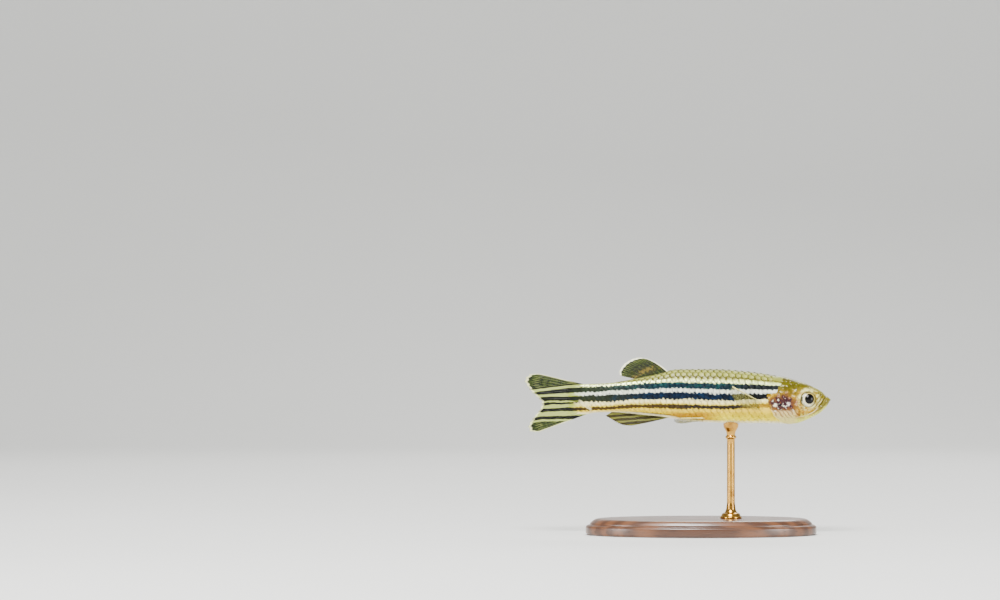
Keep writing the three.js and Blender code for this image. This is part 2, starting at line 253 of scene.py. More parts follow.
def sums(operation, first, second=0.0, clamp=False):
    """One Math node. clamp keeps its result from 0 to 1."""
    settings = {"operation": operation, "use_clamp": clamp}
    return Value(add_node(tree_of(first, second), "ShaderNodeMath", {0: first, 1: second}, **settings).outputs[0])


def sine(value):
    """The sine of an angle in radians."""
    return sums("SINE", value)


def highest(first, second):
    """The higher of two values."""
    return sums("MAXIMUM", first, second)


def distance(across, up):
    """The square root of the sum of two squares."""
    return sums("SQRT", across * across + up * up)


print("a Value takes part in + - * / and abs()")

# %% Masks, colours and patterns


def between(value, low, high):
    """0 below low, 1 above high and a smooth S between. It falls instead where low is above high."""
    flip = low > high
    inputs = {"Value": value, "From Min": min(low, high), "From Max": max(low, high)}
    inputs.update({"To Min": 1.0 if flip else 0.0, "To Max": 0.0 if flip else 1.0})
    return Value(add_node(tree_of(value), "ShaderNodeMapRange", inputs, interpolation_type="SMOOTHSTEP").outputs[0])


def paint(red, green, blue):
    """A colour as it looks on a screen, turned into linear light."""
    shown = np.array([red, green, blue]) / 255
    light = np.where(shown <= 0.04045, shown / 12.92, ((shown + 0.055) / 1.055) ** 2.4)
    return (*(float(v) for v in light), 1.0)


def blend(mask, under, over):
    """One colour laid over another where the mask is 1. Either may be plain red, green and blue."""
    made = add_node(tree_of(mask, under, over), "ShaderNodeMix", {"Factor": mask}, data_type="RGBA")
    for socket, colour in ((made.inputs[6], under), (made.inputs[7], over)):
        plug(colour if isinstance(colour, Value) else paint(*colour), socket)
    return Value(made.outputs[2])


def ramp(value, stops):
    """A colour ramp from (place from 0 to 1, colour) stops."""
    made = add_node(tree_of(value), "ShaderNodeValToRGB", {"Fac": value})
    band = made.color_ramp.elements
    while len(band) < len(stops):
        band.new(0.5)
    for element, (place, colour) in zip(band, stops):
        element.position = place
        element.color = paint(*colour)
    return Value(made.outputs["Color"])


def toned(colour, saturation=1.0, value=1.0):
    """A colour made stronger and brighter by two factors."""
    inputs = {"Color": colour, "Saturation": saturation, "Value": value}
    return Value(add_node(tree_of(colour), "ShaderNodeHueSaturation", inputs).outputs[0])


def object_place(tree):
    """The place on the object itself, in metres."""
    return Value(add_node(tree, "ShaderNodeTexCoord").outputs["Object"])


def object_axes(tree):
    """X, Y and Z of the place on the object, in metres."""
    return [Value(socket) for socket in add_node(tree, "ShaderNodeSeparateXYZ", {0: object_place(tree)}).outputs]


def noise(tree, scale, detail=2.0, stretch=(1, 1, 1), place=None):
    """Noise of about scale bumps a metre, stretched along the axes."""
    mapped = add_node(tree, "ShaderNodeMapping", {"Vector": place or object_place(tree), "Scale": stretch})
    inputs = {"Vector": Value(mapped.outputs[0]), "Scale": scale, "Detail": detail, "Roughness": 0.55}
    return Value(add_node(tree, "ShaderNodeTexNoise", inputs).outputs["Fac"])


def named(tree, name):
    """A number that the mesh carries on its points."""
    return Value(add_node(tree, "ShaderNodeAttribute", attribute_name=name).outputs["Fac"])


def bump(height, strength, depth):
    """The normal of a surface with a height over it."""
    inputs = {"Height": height, "Strength": strength, "Distance": depth}
    return Value(add_node(tree_of(height), "ShaderNodeBump", inputs).outputs[0])


print("middle grey on a screen is this much light:", round(paint(128, 128, 128)[0], 3))

# %% Groups and materials


def new_group(name, inputs, outputs):
    """A node group with named sockets, of which only the one called Colour is a colour. Returns the group and its
    inputs as Values."""
    group = bpy.data.node_groups.new(name, "ShaderNodeTree")
    for socket in inputs:
        group.interface.new_socket(socket, in_out="INPUT", socket_type="NodeSocketFloat")
    for socket in outputs:
        kind = "NodeSocketColor" if socket == "Colour" else "NodeSocketFloat"
        group.interface.new_socket(socket, in_out="OUTPUT", socket_type=kind)
    entry = group.nodes.new("NodeGroupInput")
    return group, {socket: Value(entry.outputs[socket]) for socket in inputs}


def finish_group(group, *results):
    """Leads the results to the group's outputs, in their order."""
    for socket, value in zip(group.nodes.new("NodeGroupOutput").inputs, results):
        plug(value, socket)
    return group


def use_group(tree, group, inputs):
    """Places a group in a tree and fills its inputs. Returns its outputs as Values."""
    made = add_node(tree, "ShaderNodeGroup", inputs, node_tree=group)
    return {socket.name: Value(socket) for socket in made.outputs}


def new_material(name, **values):
    """A material with a Principled shader. values are constants for its sockets, with _ for a space."""
    material = bpy.data.materials.new(name)
    material.use_nodes = True
    shader = material.node_tree.nodes["Principled BSDF"]
    for key, value in values.items():
        shader.inputs[key.replace("_", " ")].default_value = value
    return material, material.node_tree, shader


def fill(shader, inputs):
    """Leads colours, masks and normals to the shader's sockets."""
    for key, value in inputs.items():
        plug(value, shader.inputs[key])


print("materials at the start:", len(bpy.data.materials))

# %% [markdown]
# Outline of the body
#
# Seen from the side, the body is a spindle with its deepest place before the dorsal fin and a long low tail stalk.
# Each section is nearly an ellipse, fuller below than above. Four smooth lines along the fish give the back, the
# belly, the half width and the level where the body is widest, the same as those of the solids.

# %% Body outline
back = smooth_line([
    (0, 0), (0.2, 0.22), (0.6, 0.45), (1.2, 1.07), (2.4, 1.76), (4, 2.45), (7.2, 3.34),
    (12, 4.1), (17, 4.47), (22.4, 4.44), (25.6, 3.66), (28.2, 3.12), (33.2, 2.32), (36.3, 2.2), (38.6, 2.0),
])
belly = smooth_line([
    (0, -0.25), (0.3, -0.8), (0.8, -1.42), (1.5, -2.05), (3.1, -2.9), (5, -3.58), (6.2, -3.7), (9, -3.62),
    (14, -3.62), (18, -3.48), (21.4, -3.24), (23.4, -2.85), (27.7, -2.38), (32.4, -2), (34.4, -2.05), (36.3, -2.35),
    (38.6, -2.2),
])
half_width = smooth_line([
    (0, 0.35), (0.3, 0.78), (1, 1.2), (2, 1.62), (3.3, 1.92), (5, 2.2), (7.2, 2.4), (9.2, 2.48),
    (12, 2.48), (16, 2.35), (20, 2.04), (24, 1.6), (28, 1.18), (32, 0.8), (36, 0.45), (37.4, 0.22), (38.6, 0.1),
])
widest_level = smooth_line([(0, -0.12), (3.3, -0.2), (9, -0.35), (16, 0.1), (24, 0.4), (36.3, 0)])
BACK_FULLNESS = 0.95
BELLY_FULLNESS = 0.82


def body_point(s, angle, rise=0.0):
    """A point of the body's section at s. Its half width goes with a power of the cosine of the angle, and its
    height with the sine, so that 90 degrees is the back. rise moves it outwards."""
    across, up = np.cos(angle), np.sin(angle)
    level = widest_level(s)
    height = np.where(up > 0, back(s) - level, level - belly(s))
    fullness = np.where(up > 0, BACK_FULLNESS, BELLY_FULLNESS)
    y = np.sign(across) * (half_width(s) + rise) * np.abs(across) ** fullness
    return y, level + up * (height + rise)


def surface_y(s, z):
    """The half width of the body at a place s and a height z."""
    level = widest_level(s)
    above = z > level
    up = np.clip(np.abs(z - level) / np.where(above, back(s) - level, level - belly(s)), 0, 1)
    return half_width(s) * np.sqrt(1 - up * up) ** np.where(above, BACK_FULLNESS, BELLY_FULLNESS)


def underside(s, y):
    """The height of the body's lower surface at a place s and a distance y to the side."""
    level = widest_level(s)
    across = np.clip(np.abs(y) / half_width(s), 0, 1) ** (1 / BELLY_FULLNESS)
    return level - (level - belly(s)) * np.sqrt(1 - across**2)


print("depth at the deepest place:", round(float(back(17) - belly(17)), 2), "mm")

# %% [markdown]
# Stripes as a coordinate
#
# The fish is named for its stripes. They aren't level: each follows the flank, dips behind the anal fin and runs on
# into the tail fin. A picture of them would have to be painted. Instead, the middle of every dark and pale stripe is
# a smooth line along the fish, and each point of skin, scale or fin gets one number that says between which of the
# lines it lies. The material turns that number into a colour, so all pieces carry the same markings.

# %% Lines of the stripes, from the pale line under the back down to the belly
STRIPE_LINES = [
    [(7, 2.1), (10, 2.38), (16, 2.58), (23, 2.72), (28, 2.5), (33, 2.08), (37, 1.93), (42, 1.38), (45, 1.0)],
    [(7, 1.7), (10, 1.74), (16, 1.87), (23, 2.06), (28, 1.84), (33, 1.54), (37, 1.36), (42, 0.9), (45, 0.55)],
    [(7, 1.3), (10, 1.12), (16, 1.16), (22, 1.37), (28, 1.18), (33, 0.9), (37, 0.66), (42, 0.46), (45, 0.3)],
    [(7, 0.3), (10, 0.35), (16, 0.3), (22, 0.54), (28, 0.36), (33, 0.12), (37, 0.03), (40.5, 0.12), (45, -0.3)],
    [(7, -0.3), (10, -0.27), (16, -0.57), (23, -0.34), (28, -0.4), (33, -0.78), (37, -0.87), (42, -1.15), (45, -1.5)],
    [(7, -0.95), (10, -0.97), (16, -1.15), (23, -1.1), (28, -1.04), (33, -1.4), (37, -1.5), (42, -1.66), (45, -2)],
    [(7, -1.6), (10, -1.65), (17, -1.75), (22, -1.86), (28, -1.55), (32, -1.75), (37, -2.06), (42, -2.27), (45, -2.6)],
    [(7, -2.5), (17, -2.45), (22, -2.43), (27, -2.12), (30.5, -1.98), (33, -2.2), (37, -2.75), (42, -2.8), (45, -3.3)],
]
stripe_lines = [smooth_line(points) for points in STRIPE_LINES]
TOP_STRIPE = -3
LOW_STRIPE = len(STRIPE_LINES)


def stripe_number(s, z):
    """-3 on the back, 0 on the first pale line, 1 on the first dark stripe and so on, 8 on the belly, and in
    between by the share of the way from one line to the next."""
    s, z = np.broadcast_arrays(s, z)
    levels = [np.maximum(back(s), stripe_lines[0](s) + 0.9)] + [line(s) for line in stripe_lines]
    levels.append(np.minimum(belly(s), levels[-1] - 0.6))
    numbers = [TOP_STRIPE] + list(range(LOW_STRIPE + 1))
    value = np.full(s.shape, float(TOP_STRIPE))
    for i in range(len(levels) - 1):
        share = np.clip((levels[i] - z) / np.maximum(levels[i] - levels[i + 1], 1e-6), 0, 1)
        value = np.where(z <= levels[i], numbers[i] + share * (numbers[i + 1] - numbers[i]), value)
    return value


print("stripe numbers down the flank at s = 16:", np.round(stripe_number(16, np.array([4.4, 2.6, 1.9, 1.2, 0.3])), 2))

# %% Places on the head, and where its colours give way to the stripes
MOUTH = ((0.62, 0.42), (1.78, -1.12))
NOSTRILS = ((1.42, 0.62, 0.13), (1.78, 0.86, 0.1))
EYE = {"s": 3.33, "z": -0.05, "radius": 1.13, "depth": 0.82, "outward": 1.45, "turn": 0.19}
stripes_start = smooth_line([
    (-4, 6), (-2.5, 8.3), (-0.8, 9.15), (0.2, 9.4), (0.75, 9.3), (0.95, 8.1), (1.6, 7.8), (2.2, 7.4), (2.8, 7.1),
    (3.4, 6.9), (4.2, 6.9),
])


def mouth_place(s, z):
    """How far along the mouth's line, from the snout to its corner, a point lies, as a share, and its distance from
    the line, positive behind it."""
    (s1, z1), (s2, z2) = MOUTH
    run_s, run_z = s2 - s1, z2 - z1
    span = math.hypot(run_s, run_z)
    return ((s - s1) * run_s + (z - z1) * run_z) / span**2, ((z - z1) * run_s - (s - s1) * run_z) / span


def marking_values(s, z):
    """The numbers that the markings read: the place along the fish, the height, the stripe, how far the flank's
    colours have taken over from the head's, the depth under the outline seen from the side, and the distance from
    the mouth's line."""
    flank = step(s - stripes_start(z), -0.2, 0.2)
    rim = np.minimum(back(s) - z, z - belly(s))
    return {"along": s, "height": z, "stripe": stripe_number(s, z), "flank": flank, "rim": rim,
            "jaw": mouth_place(s, z)[1]}


print("colours of the flank begin, at z = 0 and 2:", stripes_start(np.array([0, 2.0])).round(2))

# %% [markdown]
# Markings of the fish
#
# In life the dark stripes are blue-black with a teal gleam, the lines between them are cream to white and mirror the
# light, the back is olive gold and the belly warm cream with an orange patch ahead of the vent. The head has no
# stripes: it is olive on top, pale round the eye, and the gill cover lets the dark red gills show through. Each
# marking is a colour laid over the ones before it by a mask, and a mask is a product of soft steps in the place
# along the fish, the height and the stripe number. Skin and scales need the same markings, so one node group works
# them out, in parts.

# %% Stripes of the tail fin
TAIL_BANDS = [
    (-1.5, -1.1, -0.75, -0.55), (0.4, 0.52, 1.45, 1.6), (2.4, 2.52, 3.22, 3.32), (3.48, 3.56, 3.74, 3.84),
    (4.5, 4.66, 5.36, 5.5), (6.45, 6.65, 7.3, 7.46),
]


def make_tail_stripes():
    """Dark olive bands between pale yellow ones. A band is the four stripe numbers where it starts, is full, is
    still full and ends."""
    tree, entry = new_group("tail stripes", ["Stripe"], ["Colour", "Dark", "Pale"])
    stripe = entry["Stripe"] + (noise(tree, 1700, 3.0, (0.35, 1, 1)) - 0.5) * 0.55
    dark = 0.0
    for start, full, still_full, end in TAIL_BANDS:
        dark = sums("ADD", dark, between(stripe, start, full) * between(stripe, end, still_full), clamp=True)
    lined = between(stripe, -0.9, -0.5) * between(stripe, 7.95, 7.8)
    pale = sums("SUBTRACT", lined, dark, clamp=True)
    colour = blend(dark, blend(pale, (96, 100, 46), (158, 168, 90)), (6, 9, 3))
    return finish_group(tree, colour, dark, pale)


tail_stripes = make_tail_stripes()
print("tail stripes:", len(tail_stripes.nodes), "nodes")

# %% Colours of the flank, by the stripe number
STRIPE_SPAN = LOW_STRIPE - TOP_STRIPE
FLANK_COLOURS = [
    (-3, (68, 68, 32)), (-2.7, (108, 110, 60)), (-2.3, (136, 138, 82)), (-1.4, (128, 130, 72)), (-1.0, (88, 84, 36)),
    (-0.72, (96, 92, 40)), (-0.5, (190, 198, 128)), (0, (232, 240, 184)), (0.3, (208, 218, 158)),
    (0.43, (14, 34, 42)), (1.0, (6, 22, 32)), (1.52, (14, 34, 44)), (1.64, (220, 226, 206)),
    (2.0, (248, 248, 232)), (2.32, (222, 226, 212)), (2.44, (8, 20, 36)), (3.0, (3, 11, 26)),
    (3.5, (10, 22, 34)), (3.62, (238, 228, 178)), (4.0, (252, 242, 184)), (4.48, (222, 200, 110)),
    (4.62, (46, 38, 24)), (5.0, (26, 22, 16)), (5.36, (52, 42, 26)), (5.48, (206, 182, 100)),
    # The last stop, near white at the belly's edge, is the pale belly with a painted highlight along the lower outline
    (6.0, (222, 196, 112)), (6.8, (212, 190, 86)), (7.45, (238, 222, 116)), (8, (255, 248, 190)),
]
DARK_BANDS = ((0.4, 1.57), (2.41, 3.55))
SERRATION = 0.62
FOLD = {"s": 36.05, "z": -0.93, "slope": (0.61, -0.79)}


def flank_colour(tree, entry, coarse, fine):
    """The colours of the trunk and the tail stalk, a mask of the dark stripes and one of the mirror-like lines."""
    along, height, rim = entry["Along"], entry["Height"], entry["Rim"]

    # The stripes' edges are ragged, cell by cell
    turns = along / SERRATION + entry["Stripe"] * 0.45
    stripe = entry["Stripe"] + (coarse * 0.75 + fine * 0.6 + sine(turns * (2 * math.pi)) * 0.07)
    stops = [((number - TOP_STRIPE) / STRIPE_SPAN, colour) for number, colour in FLANK_COLOURS]
    flank = ramp((stripe - TOP_STRIPE) / STRIPE_SPAN, stops)

    # Teal and blue patches of painted sheen on the dark stripes, which are black at the shoulder and browner towards
    # the tail
    dark = 0.0
    for low, high in DARK_BANDS:
        dark = between(stripe, low - 0.06, low + 0.06) * between(stripe, high + 0.06, high - 0.06) + dark
    painted_gleam_mask = between(noise(tree, 2300, 2.0, (0.5, 1, 1)), 0.45, 0.7) * dark
    painted_sheen_colour = blend(between(stripe, 1.9, 2.1), (24, 68, 64), (8, 40, 70))
    flank = blend(painted_gleam_mask * 0.6, flank, painted_sheen_colour)
    flank = blend(between(along, 17, 11) * dark * 0.9, flank, (2, 4, 4))
    flank = blend(between(along, 25, 36) * dark * 0.7, flank, (40, 44, 20))

    # The third dark stripe only begins behind the shoulder, and is brown further back
    third = between(stripe, 4.58, 4.7) * between(stripe, 5.5, 5.36)
    flank = blend(third * between(along, 19, 27) * 0.75, flank, (68, 52, 18))
    flank = blend(third * between(along, 14, 9.5) * 0.7, flank, (176, 144, 76))

    # A fourth one lies low on the rear half, with the orange patch of the belly ahead of it
    fourth = between(stripe, 6.62, 6.8) * between(stripe, 7.42, 7.24) * between(along, 18.5, 24)
    flank = blend(fourth * 0.85, flank, (92, 70, 24))
    patch = between(along, 15.5, 19.5) * between(along, 25, 22)
    patch = patch * between(stripe, 5.9, 6.6) * between(height, -3.5, -3.1)
    flank = blend(patch * between(noise(tree, 700, 3.0), 0.08, 0.34), flank, (172, 126, 0))

    # The belly's keel is pale, with a painted highlight along the lower outline, and towards the tail fin the flank
    # takes on the fin's colours
    flank = blend(between(rim, 0.5, 0.2) * between(height, -1.5, -2.2) * 0.8, flank, (255, 250, 212))
    tail = use_group(tree, tail_stripes, {"Stripe": entry["Stripe"]})
    flank = blend(between(along + coarse * 3.0, 36.2, 38.4), flank, tail["Colour"])

    # A pale fold of skin slants down over the root of the tail fin
    behind, over = along - FOLD["s"], height - FOLD["z"]
    across = abs(behind * FOLD["slope"][0] + over * FOLD["slope"][1]) + coarse * 0.2
    fold = between(across, 0.24, 0.12) * between(distance(behind, over), 1.35, 0.8)
    flank = blend(fold * 0.6, flank, (250, 240, 196))

    mirror = between(stripe, -0.5, -0.2) * between(stripe, 4.7, 4.4) * sums("SUBTRACT", 1.0, dark, clamp=True)
    return flank, dark, mirror


print("colours from back to belly:", len(FLANK_COLOURS))

# %% Colours of the head
MOUTH_SHADE_LINES = ((0.0, 0.08, 0.95), (0.4, 0.13, 0.7), (0.9, 0.15, 0.65), (-0.5, 0.1, 0.4))


def head_colour(tree, entry, coarse):
    """Olive crown, golden cheek, pale throat and jaw, freckles all over, what surrounds the eye and the mouth, and
    painted highlights: a pale band along the outline and pale glints.
    """
    along, height, rim = entry["Along"], entry["Height"], entry["Rim"]
    crown = between(height + coarse * 1.2, 0.2, 1.9)
    head = blend(crown, (182, 150, 86), (82, 80, 32))
    head = blend(between(height, -1.7, -2.9), head, (214, 216, 122))
    head = blend(between(along, 3.0, 1.3) * 0.85, head, (94, 96, 42))
    # A pale band along the whole outline seen from the side: a painted highlight
    head = blend(between(rim, 0.3, 0.08) * 0.2, head, (222, 224, 140))
    # The pale lower edge of the head: the jaw's own pale skin with a painted highlight along the lower outline
    head = blend(between(rim, 0.65, 0.25) * between(height, -0.5, -1.2) * 0.8, head, (226, 228, 132))
    mottle = between(noise(tree, 2100, 4.0), 0.4, 0.62)
    head = blend(mottle * between(height, 1.2, 2.2) * 0.55, head, (84, 70, 22))
    nape = between(height, 0.0, 1.0) * between(along, 3.7, 5.0)
    head = blend(mottle * nape * 0.75, head, (62, 56, 22))
    head = blend(between(noise(tree, 4600, 3.0), 0.52, 0.66) * 0.5, head, (96, 76, 24))
    # Pale glints scattered over the head: painted highlights
    head = blend(between(noise(tree, 3300, 2.0, (0.8, 1, 1)), 0.6, 0.68) * 0.5, head, (240, 236, 190))

    # A pale patchy ring round the eye, a ring of painted shade at the socket's edge, and reddish brown streaks behind
    # and below
    from_eye = distance(along - EYE["s"], height - EYE["z"])
    patchy = between(noise(tree, 1900, 3.0), 0.36, 0.6) * between(from_eye, 1.95, 1.4)
    head = blend(patchy * 0.85, head, (226, 224, 164))
    head = blend(between(from_eye, 1.3, 1.18) * 0.25, head, (84, 76, 30))
    streak = between(noise(tree, 1500, 4.0, (1, 1, 0.45)), 0.46, 0.58) * between(along, 2.3, 4.0)
    streak = streak * between(from_eye, 1.5, 2.1) * between(height, 0.3, -0.6) * between(height, -3.2, -2.4)
    head = blend(streak * 0.75, head, (132, 78, 52))

    # The mouth's line, with painted shade in its cleft and the creases beside and behind it, and painted shade in the
    # nostril pits
    lines = 0.0
    for middle, width, strength in MOUTH_SHADE_LINES:
        lines = highest(between(abs(entry["Jaw"] - middle), width, width * 0.4) * strength, lines)
    head = blend(lines * (between(along, 3.0, 1.9) * between(height, 0.75, 0.35)), head, (78, 60, 18))
    for s, z, radius in NOSTRILS:
        head = blend(between(distance(along - s, height - z), radius, radius * 0.5), head, (44, 36, 12))
    return head


print("dark lines along the mouth:", len(MOUTH_SHADE_LINES))

# %% Colours of the gill cover
GILL_STAIN = {"s": 6.95, "z": -0.62, "long": 2.25, "tall": 1.5}
GILL_CORE = {"s": 6.9, "z": -0.15}
GILL_SPOTS = ((8.2, -0.8, 0.34, (232, 226, 204)), (6.3, -0.75, 0.34, (232, 222, 212)), (7.55, -0.8, 0.28, (10, 6, 10)))


def gill_colour(tree, entry, head, coarse, fine):
    """The gill cover is thin enough for the gills to show: maroon and violet, with silvery and pink flecks, an olive
    brown network round it, slanted lines below it and a few larger spots. Returns the colour and a mask of flecks."""
    along, height = entry["Along"], entry["Height"]
    aside, over = (along - GILL_STAIN["s"]) / GILL_STAIN["long"], (height - GILL_STAIN["z"]) / GILL_STAIN["tall"]
    gill = distance(aside, over) + (noise(tree, 900, 4.0) - 0.5) * 1.3
    web = between(abs(noise(tree, 1500, 3.0) - 0.5), 0.045, 0.015) * between(gill, 1.7, 1.1)
    head = blend(web * 0.7, head, (92, 74, 28))
    head = blend(between(gill, 1.1, 0.65) * 0.85, head, (80, 50, 44))
    head = blend(between(height, -1.4, -1.9) * between(along, 4.6, 5.6) * 0.6, head, (224, 206, 160))

    slanted = (along * 0.76 - height * 0.65) * (2 * math.pi / 0.5) + coarse * 9.0
    slanted = between(sine(slanted), 0.1, 0.7) * between(gill, 1.75, 1.1) * between(height, -0.9, -1.5)
    head = blend(slanted * 0.65, head, (104, 70, 42))

    core = distance(along - GILL_CORE["s"], height - GILL_CORE["z"])
    deep = between(noise(tree, 1250, 3.0) + between(core, 1.5, 0.3) * 0.14, 0.5, 0.58)
    head = blend(deep * between(gill, 0.95, 0.6) * 0.9, head, (38, 16, 30))
    flecks = between(noise(tree, 2500, 2.0), 0.58, 0.64) * between(gill, 1.3, 0.8)
    tint = between(noise(tree, 1000, 1.0), 0.42, 0.58)
    head = blend(flecks * 0.8, head, blend(tint, (222, 216, 196), (190, 144, 132)))
    for s, z, radius, colour in GILL_SPOTS:
        away = distance(along - s, height - z) + (fine + coarse) * 0.6
        head = blend(between(away, radius, radius * 0.3), head, colour)
    return head, flecks


print("spots on the gill cover:", len(GILL_SPOTS))

# %% The group of all markings
MARKING_INPUTS = ["Along", "Height", "Stripe", "Flank", "Rim", "Jaw"]


def make_markings():
    """From the mesh's own numbers to a colour, a mask of all that mirrors, a mask of the dark stripes and a height
    for the fine relief."""
    tree, entry = new_group("fish markings", MARKING_INPUTS, ["Colour", "Shine", "Dark", "Relief"])
    coarse = noise(tree, 1500, 3.0, (0.45, 1, 1)) - 0.5
    fine = noise(tree, 5200, 2.0, (0.7, 1, 1)) - 0.5
    flank, dark, mirror = flank_colour(tree, entry, coarse, fine)
    head, flecks = gill_colour(tree, entry, head_colour(tree, entry, coarse), coarse, fine)
    on_flank = between(entry["Flank"] + coarse * 1.6, 0.35, 0.65)
    colour = toned(blend(on_flank, head, flank), saturation=1.22)
    shine = highest(mirror * on_flank, flecks * 0.7)
    return finish_group(tree, colour, shine, dark * on_flank, noise(tree, 9000, 2.0))


markings = make_markings()
print("markings:", len(markings.nodes), "nodes")

# %% [markdown]
# Finish of skin and scales
#
# Fish skin is wet and glossy, with a clear slime layer over it. The pale lines hold tiny mirror crystals, so they are
# a little metallic. The scales carry the same markings. On the back each scale is darker towards its free edge, as
# on the live fish, and lighter in its middle, a painted highlight. Every scale has its own shade and a few growth
# rings.

# %% Skin and scale materials


def fish_finish(name, scaled):
    """The markings on a glossy, slightly mirror-like skin, with a clear coat that is thinner on the dark stripes."""
    material, tree, shader = new_material(name, IOR=1.38, Specular_IOR_Level=0.22, Coat_Roughness=0.14, Coat_IOR=1.33)
    marks = use_group(tree, markings, {socket: named(tree, socket.lower()) for socket in MARKING_INPUTS})
    colour, relief = marks["Colour"], marks["Relief"]
    if scaled:
        to_edge = named(tree, "to_edge")
        on_back = between(named(tree, "stripe"), -0.2, -0.6)
        colour = blend(between(to_edge, 0.76, 0.95) * on_back * 0.5, colour, (70, 64, 22))
        # The lighter middles of the scales on the back are a painted highlight
        colour = blend(between(to_edge, 0.75, 0.3) * on_back * 0.4, colour, (192, 190, 120))
        colour = toned(colour, value=named(tree, "shade") * 0.22 + 0.89)
        relief = relief + sine(to_edge * 40.0) * 0.25
    wet = between(noise(tree, 1800, 2.0), 0.2, 0.8) * 0.22 + 0.16
    fill(shader, {
        "Base Color": colour,
        "Metallic": marks["Shine"] * 0.35,
        "Roughness": 0.42 - marks["Shine"] * 0.14,
        "Coat Weight": wet * (1.0 - marks["Dark"] * 0.75),
        "Normal": bump(relief, 0.25, 0.02 * MM),
    })
    return material


skin_finish = fish_finish("skin", False)
scale_finish = fish_finish("scales", True)
print("finishes:", skin_finish.name, scale_finish.name)

# %% [markdown]
# Where the head ends
#
# The gill cover is a thin curved plate with a free rear edge, and water leaves through the slit behind it. If the
# skin's grid ran straight round the body, that edge would be a row of steps. So the grid is warped until one of its
# rings lies exactly on the edge, and a few more rings fold under it to make the slit.

# %% The gill cover's free edge
GILL = {"s": 5, "z": -0.4, "reach": 4.2, "rise": 4.5, "drop": 3.4}
GILL_SWELL = 0.14
SKIN_END = 38.5


def gill_edge(angle):
    """For each angle round the body, the place s where the gill cover ends: half an ellipse in side view, found by
    stepping from s to the height there and back a few times."""
    s = np.full_like(angle, 8.0)
    for _ in range(12):
        z = body_point(s, angle)[1] - GILL["z"]
        tall = np.where(z > 0, GILL["rise"], GILL["drop"])
        s = 0.5 * s + 0.5 * (GILL["s"] + GILL["reach"] * np.sqrt(np.clip(1 - (z / tall) ** 2, 0.03, 1)))
    return s


SKIN_SIDES = 176
skin_angles = math.pi / 2 + (np.arange(SKIN_SIDES) + 0.5) / SKIN_SIDES * 2 * math.pi
edge_s = gill_edge(skin_angles)
edge_z = body_point(edge_s, skin_angles)[1]
slit_open = step(edge_z, 2.9, 1.9) * step(edge_z, -3.75, -3.2)
print("the gill cover ends between s =", round(float(edge_s.min()), 2), "and", round(float(edge_s.max()), 2))

# %% [markdown]
# Relief of the head
#
# A danio's head is bare skin over small bones. The mouth is a steep cleft whose lower jaw juts out, with a lip on
# each side of it. The nostrils are two small pits ahead of the eye, and the eye sits in a round socket. Fine grooves
# mark the cheek, the jaw and the plates of the gill cover. All of it is a height over the smooth head, worked out
# for every point from its distance to a few named lines.

# %% Heights of the head's features
GROOVES = [
    ([(4.9, 2.0), (5.6, 1.0), (5.95, -0.3), (5.7, -1.5), (4.9, -2.35), (3.7, -2.55)], 0.08, 0.06),
    ([(6.0, -1.55), (7.2, -1.75), (8.4, -1.3)], 0.07, 0.045),
    ([(1.85, -1.25), (2.7, -1.75), (3.8, -2.1), (4.9, -2.3)], 0.07, 0.035),
    ([(1.1, 0.75), (1.45, 0.1), (1.75, -0.5), (2.15, -1.15)], 0.06, 0.03),
    ([(4.6, 0.9), (5.2, 1.35), (6.3, 1.75), (7.3, 2.1)], 0.09, 0.035),
    ([(4.6, -2.75), (5.8, -2.85), (7.2, -2.6)], 0.07, 0.045),
    ([(4.2, -2.95), (5.6, -3.15), (6.6, -3.0)], 0.07, 0.045),
]


def to_path(s, z, path):
    """The least distance in side view from each point to a path of straight pieces, and how far along it is."""
    path = np.array(path, dtype=float)
    best = np.full(np.shape(s), 1e9)
    place = np.zeros(np.shape(s))
    for i in range(len(path) - 1):
        run = path[i + 1] - path[i]
        share = np.clip(((s - path[i, 0]) * run[0] + (z - path[i, 1]) * run[1]) / (run @ run), 0, 1)
        away = np.hypot(s - path[i, 0] - share * run[0], z - path[i, 1] - share * run[1])
        place = np.where(away < best, (i + share) / (len(path) - 1), place)
        best = np.minimum(best, away)
    return best, place


def head_relief(s, z, aside):
    """Socket, orbit rim, mouth, lips, nostrils and grooves as one height in millimetres. aside is the distance from
    the middle plane, where the lips are lowest."""
    from_eye = np.hypot(s - EYE["s"], z - EYE["z"])
    height = -0.72 * step(from_eye, 1.19, 1.08) + 0.06 * bell(from_eye - 1.3, 0.1)
    height = height - 0.03 * bell(from_eye - 1.62, 0.12)

    place, across = mouth_place(s, z)
    held = step(place, 1.08, 0.9) * step(place, -0.9, -0.5) * (0.35 + 0.65 * step(aside, 0.1, 0.7))
    height = height - 0.17 * bell(across, 0.065) * held
    lips = bell(np.abs(across) - 0.2, 0.12) * (1 - 0.5 * np.clip(place, 0, 1))
    height = height + 0.07 * lips * held - 0.035 * bell(np.abs(across) - 0.42, 0.08) * held

    for s0, z0, radius in NOSTRILS:
        away = np.hypot(s - s0, z - z0)
        height = height - 0.16 * bell(away, radius * 0.75) + 0.05 * bell(away - radius * 1.5, radius * 0.5)
    for path, width, depth in GROOVES:
        away, place = to_path(s, z, path)
        ends = step(place, 0, 0.12) * step(place, 1, 0.88)
        height = height - depth * bell(away, width) * ends
    return height


def gill_swelling(s, angle):
    """The gill cover's swelling, which is strongest at its side."""
    return GILL_SWELL * step(s, 5, 7.6) * np.sqrt(np.abs(np.cos(angle)))


print("depth of the eye's socket:", round(float(-head_relief(EYE["s"], EYE["z"], 2.0)), 2), "mm")

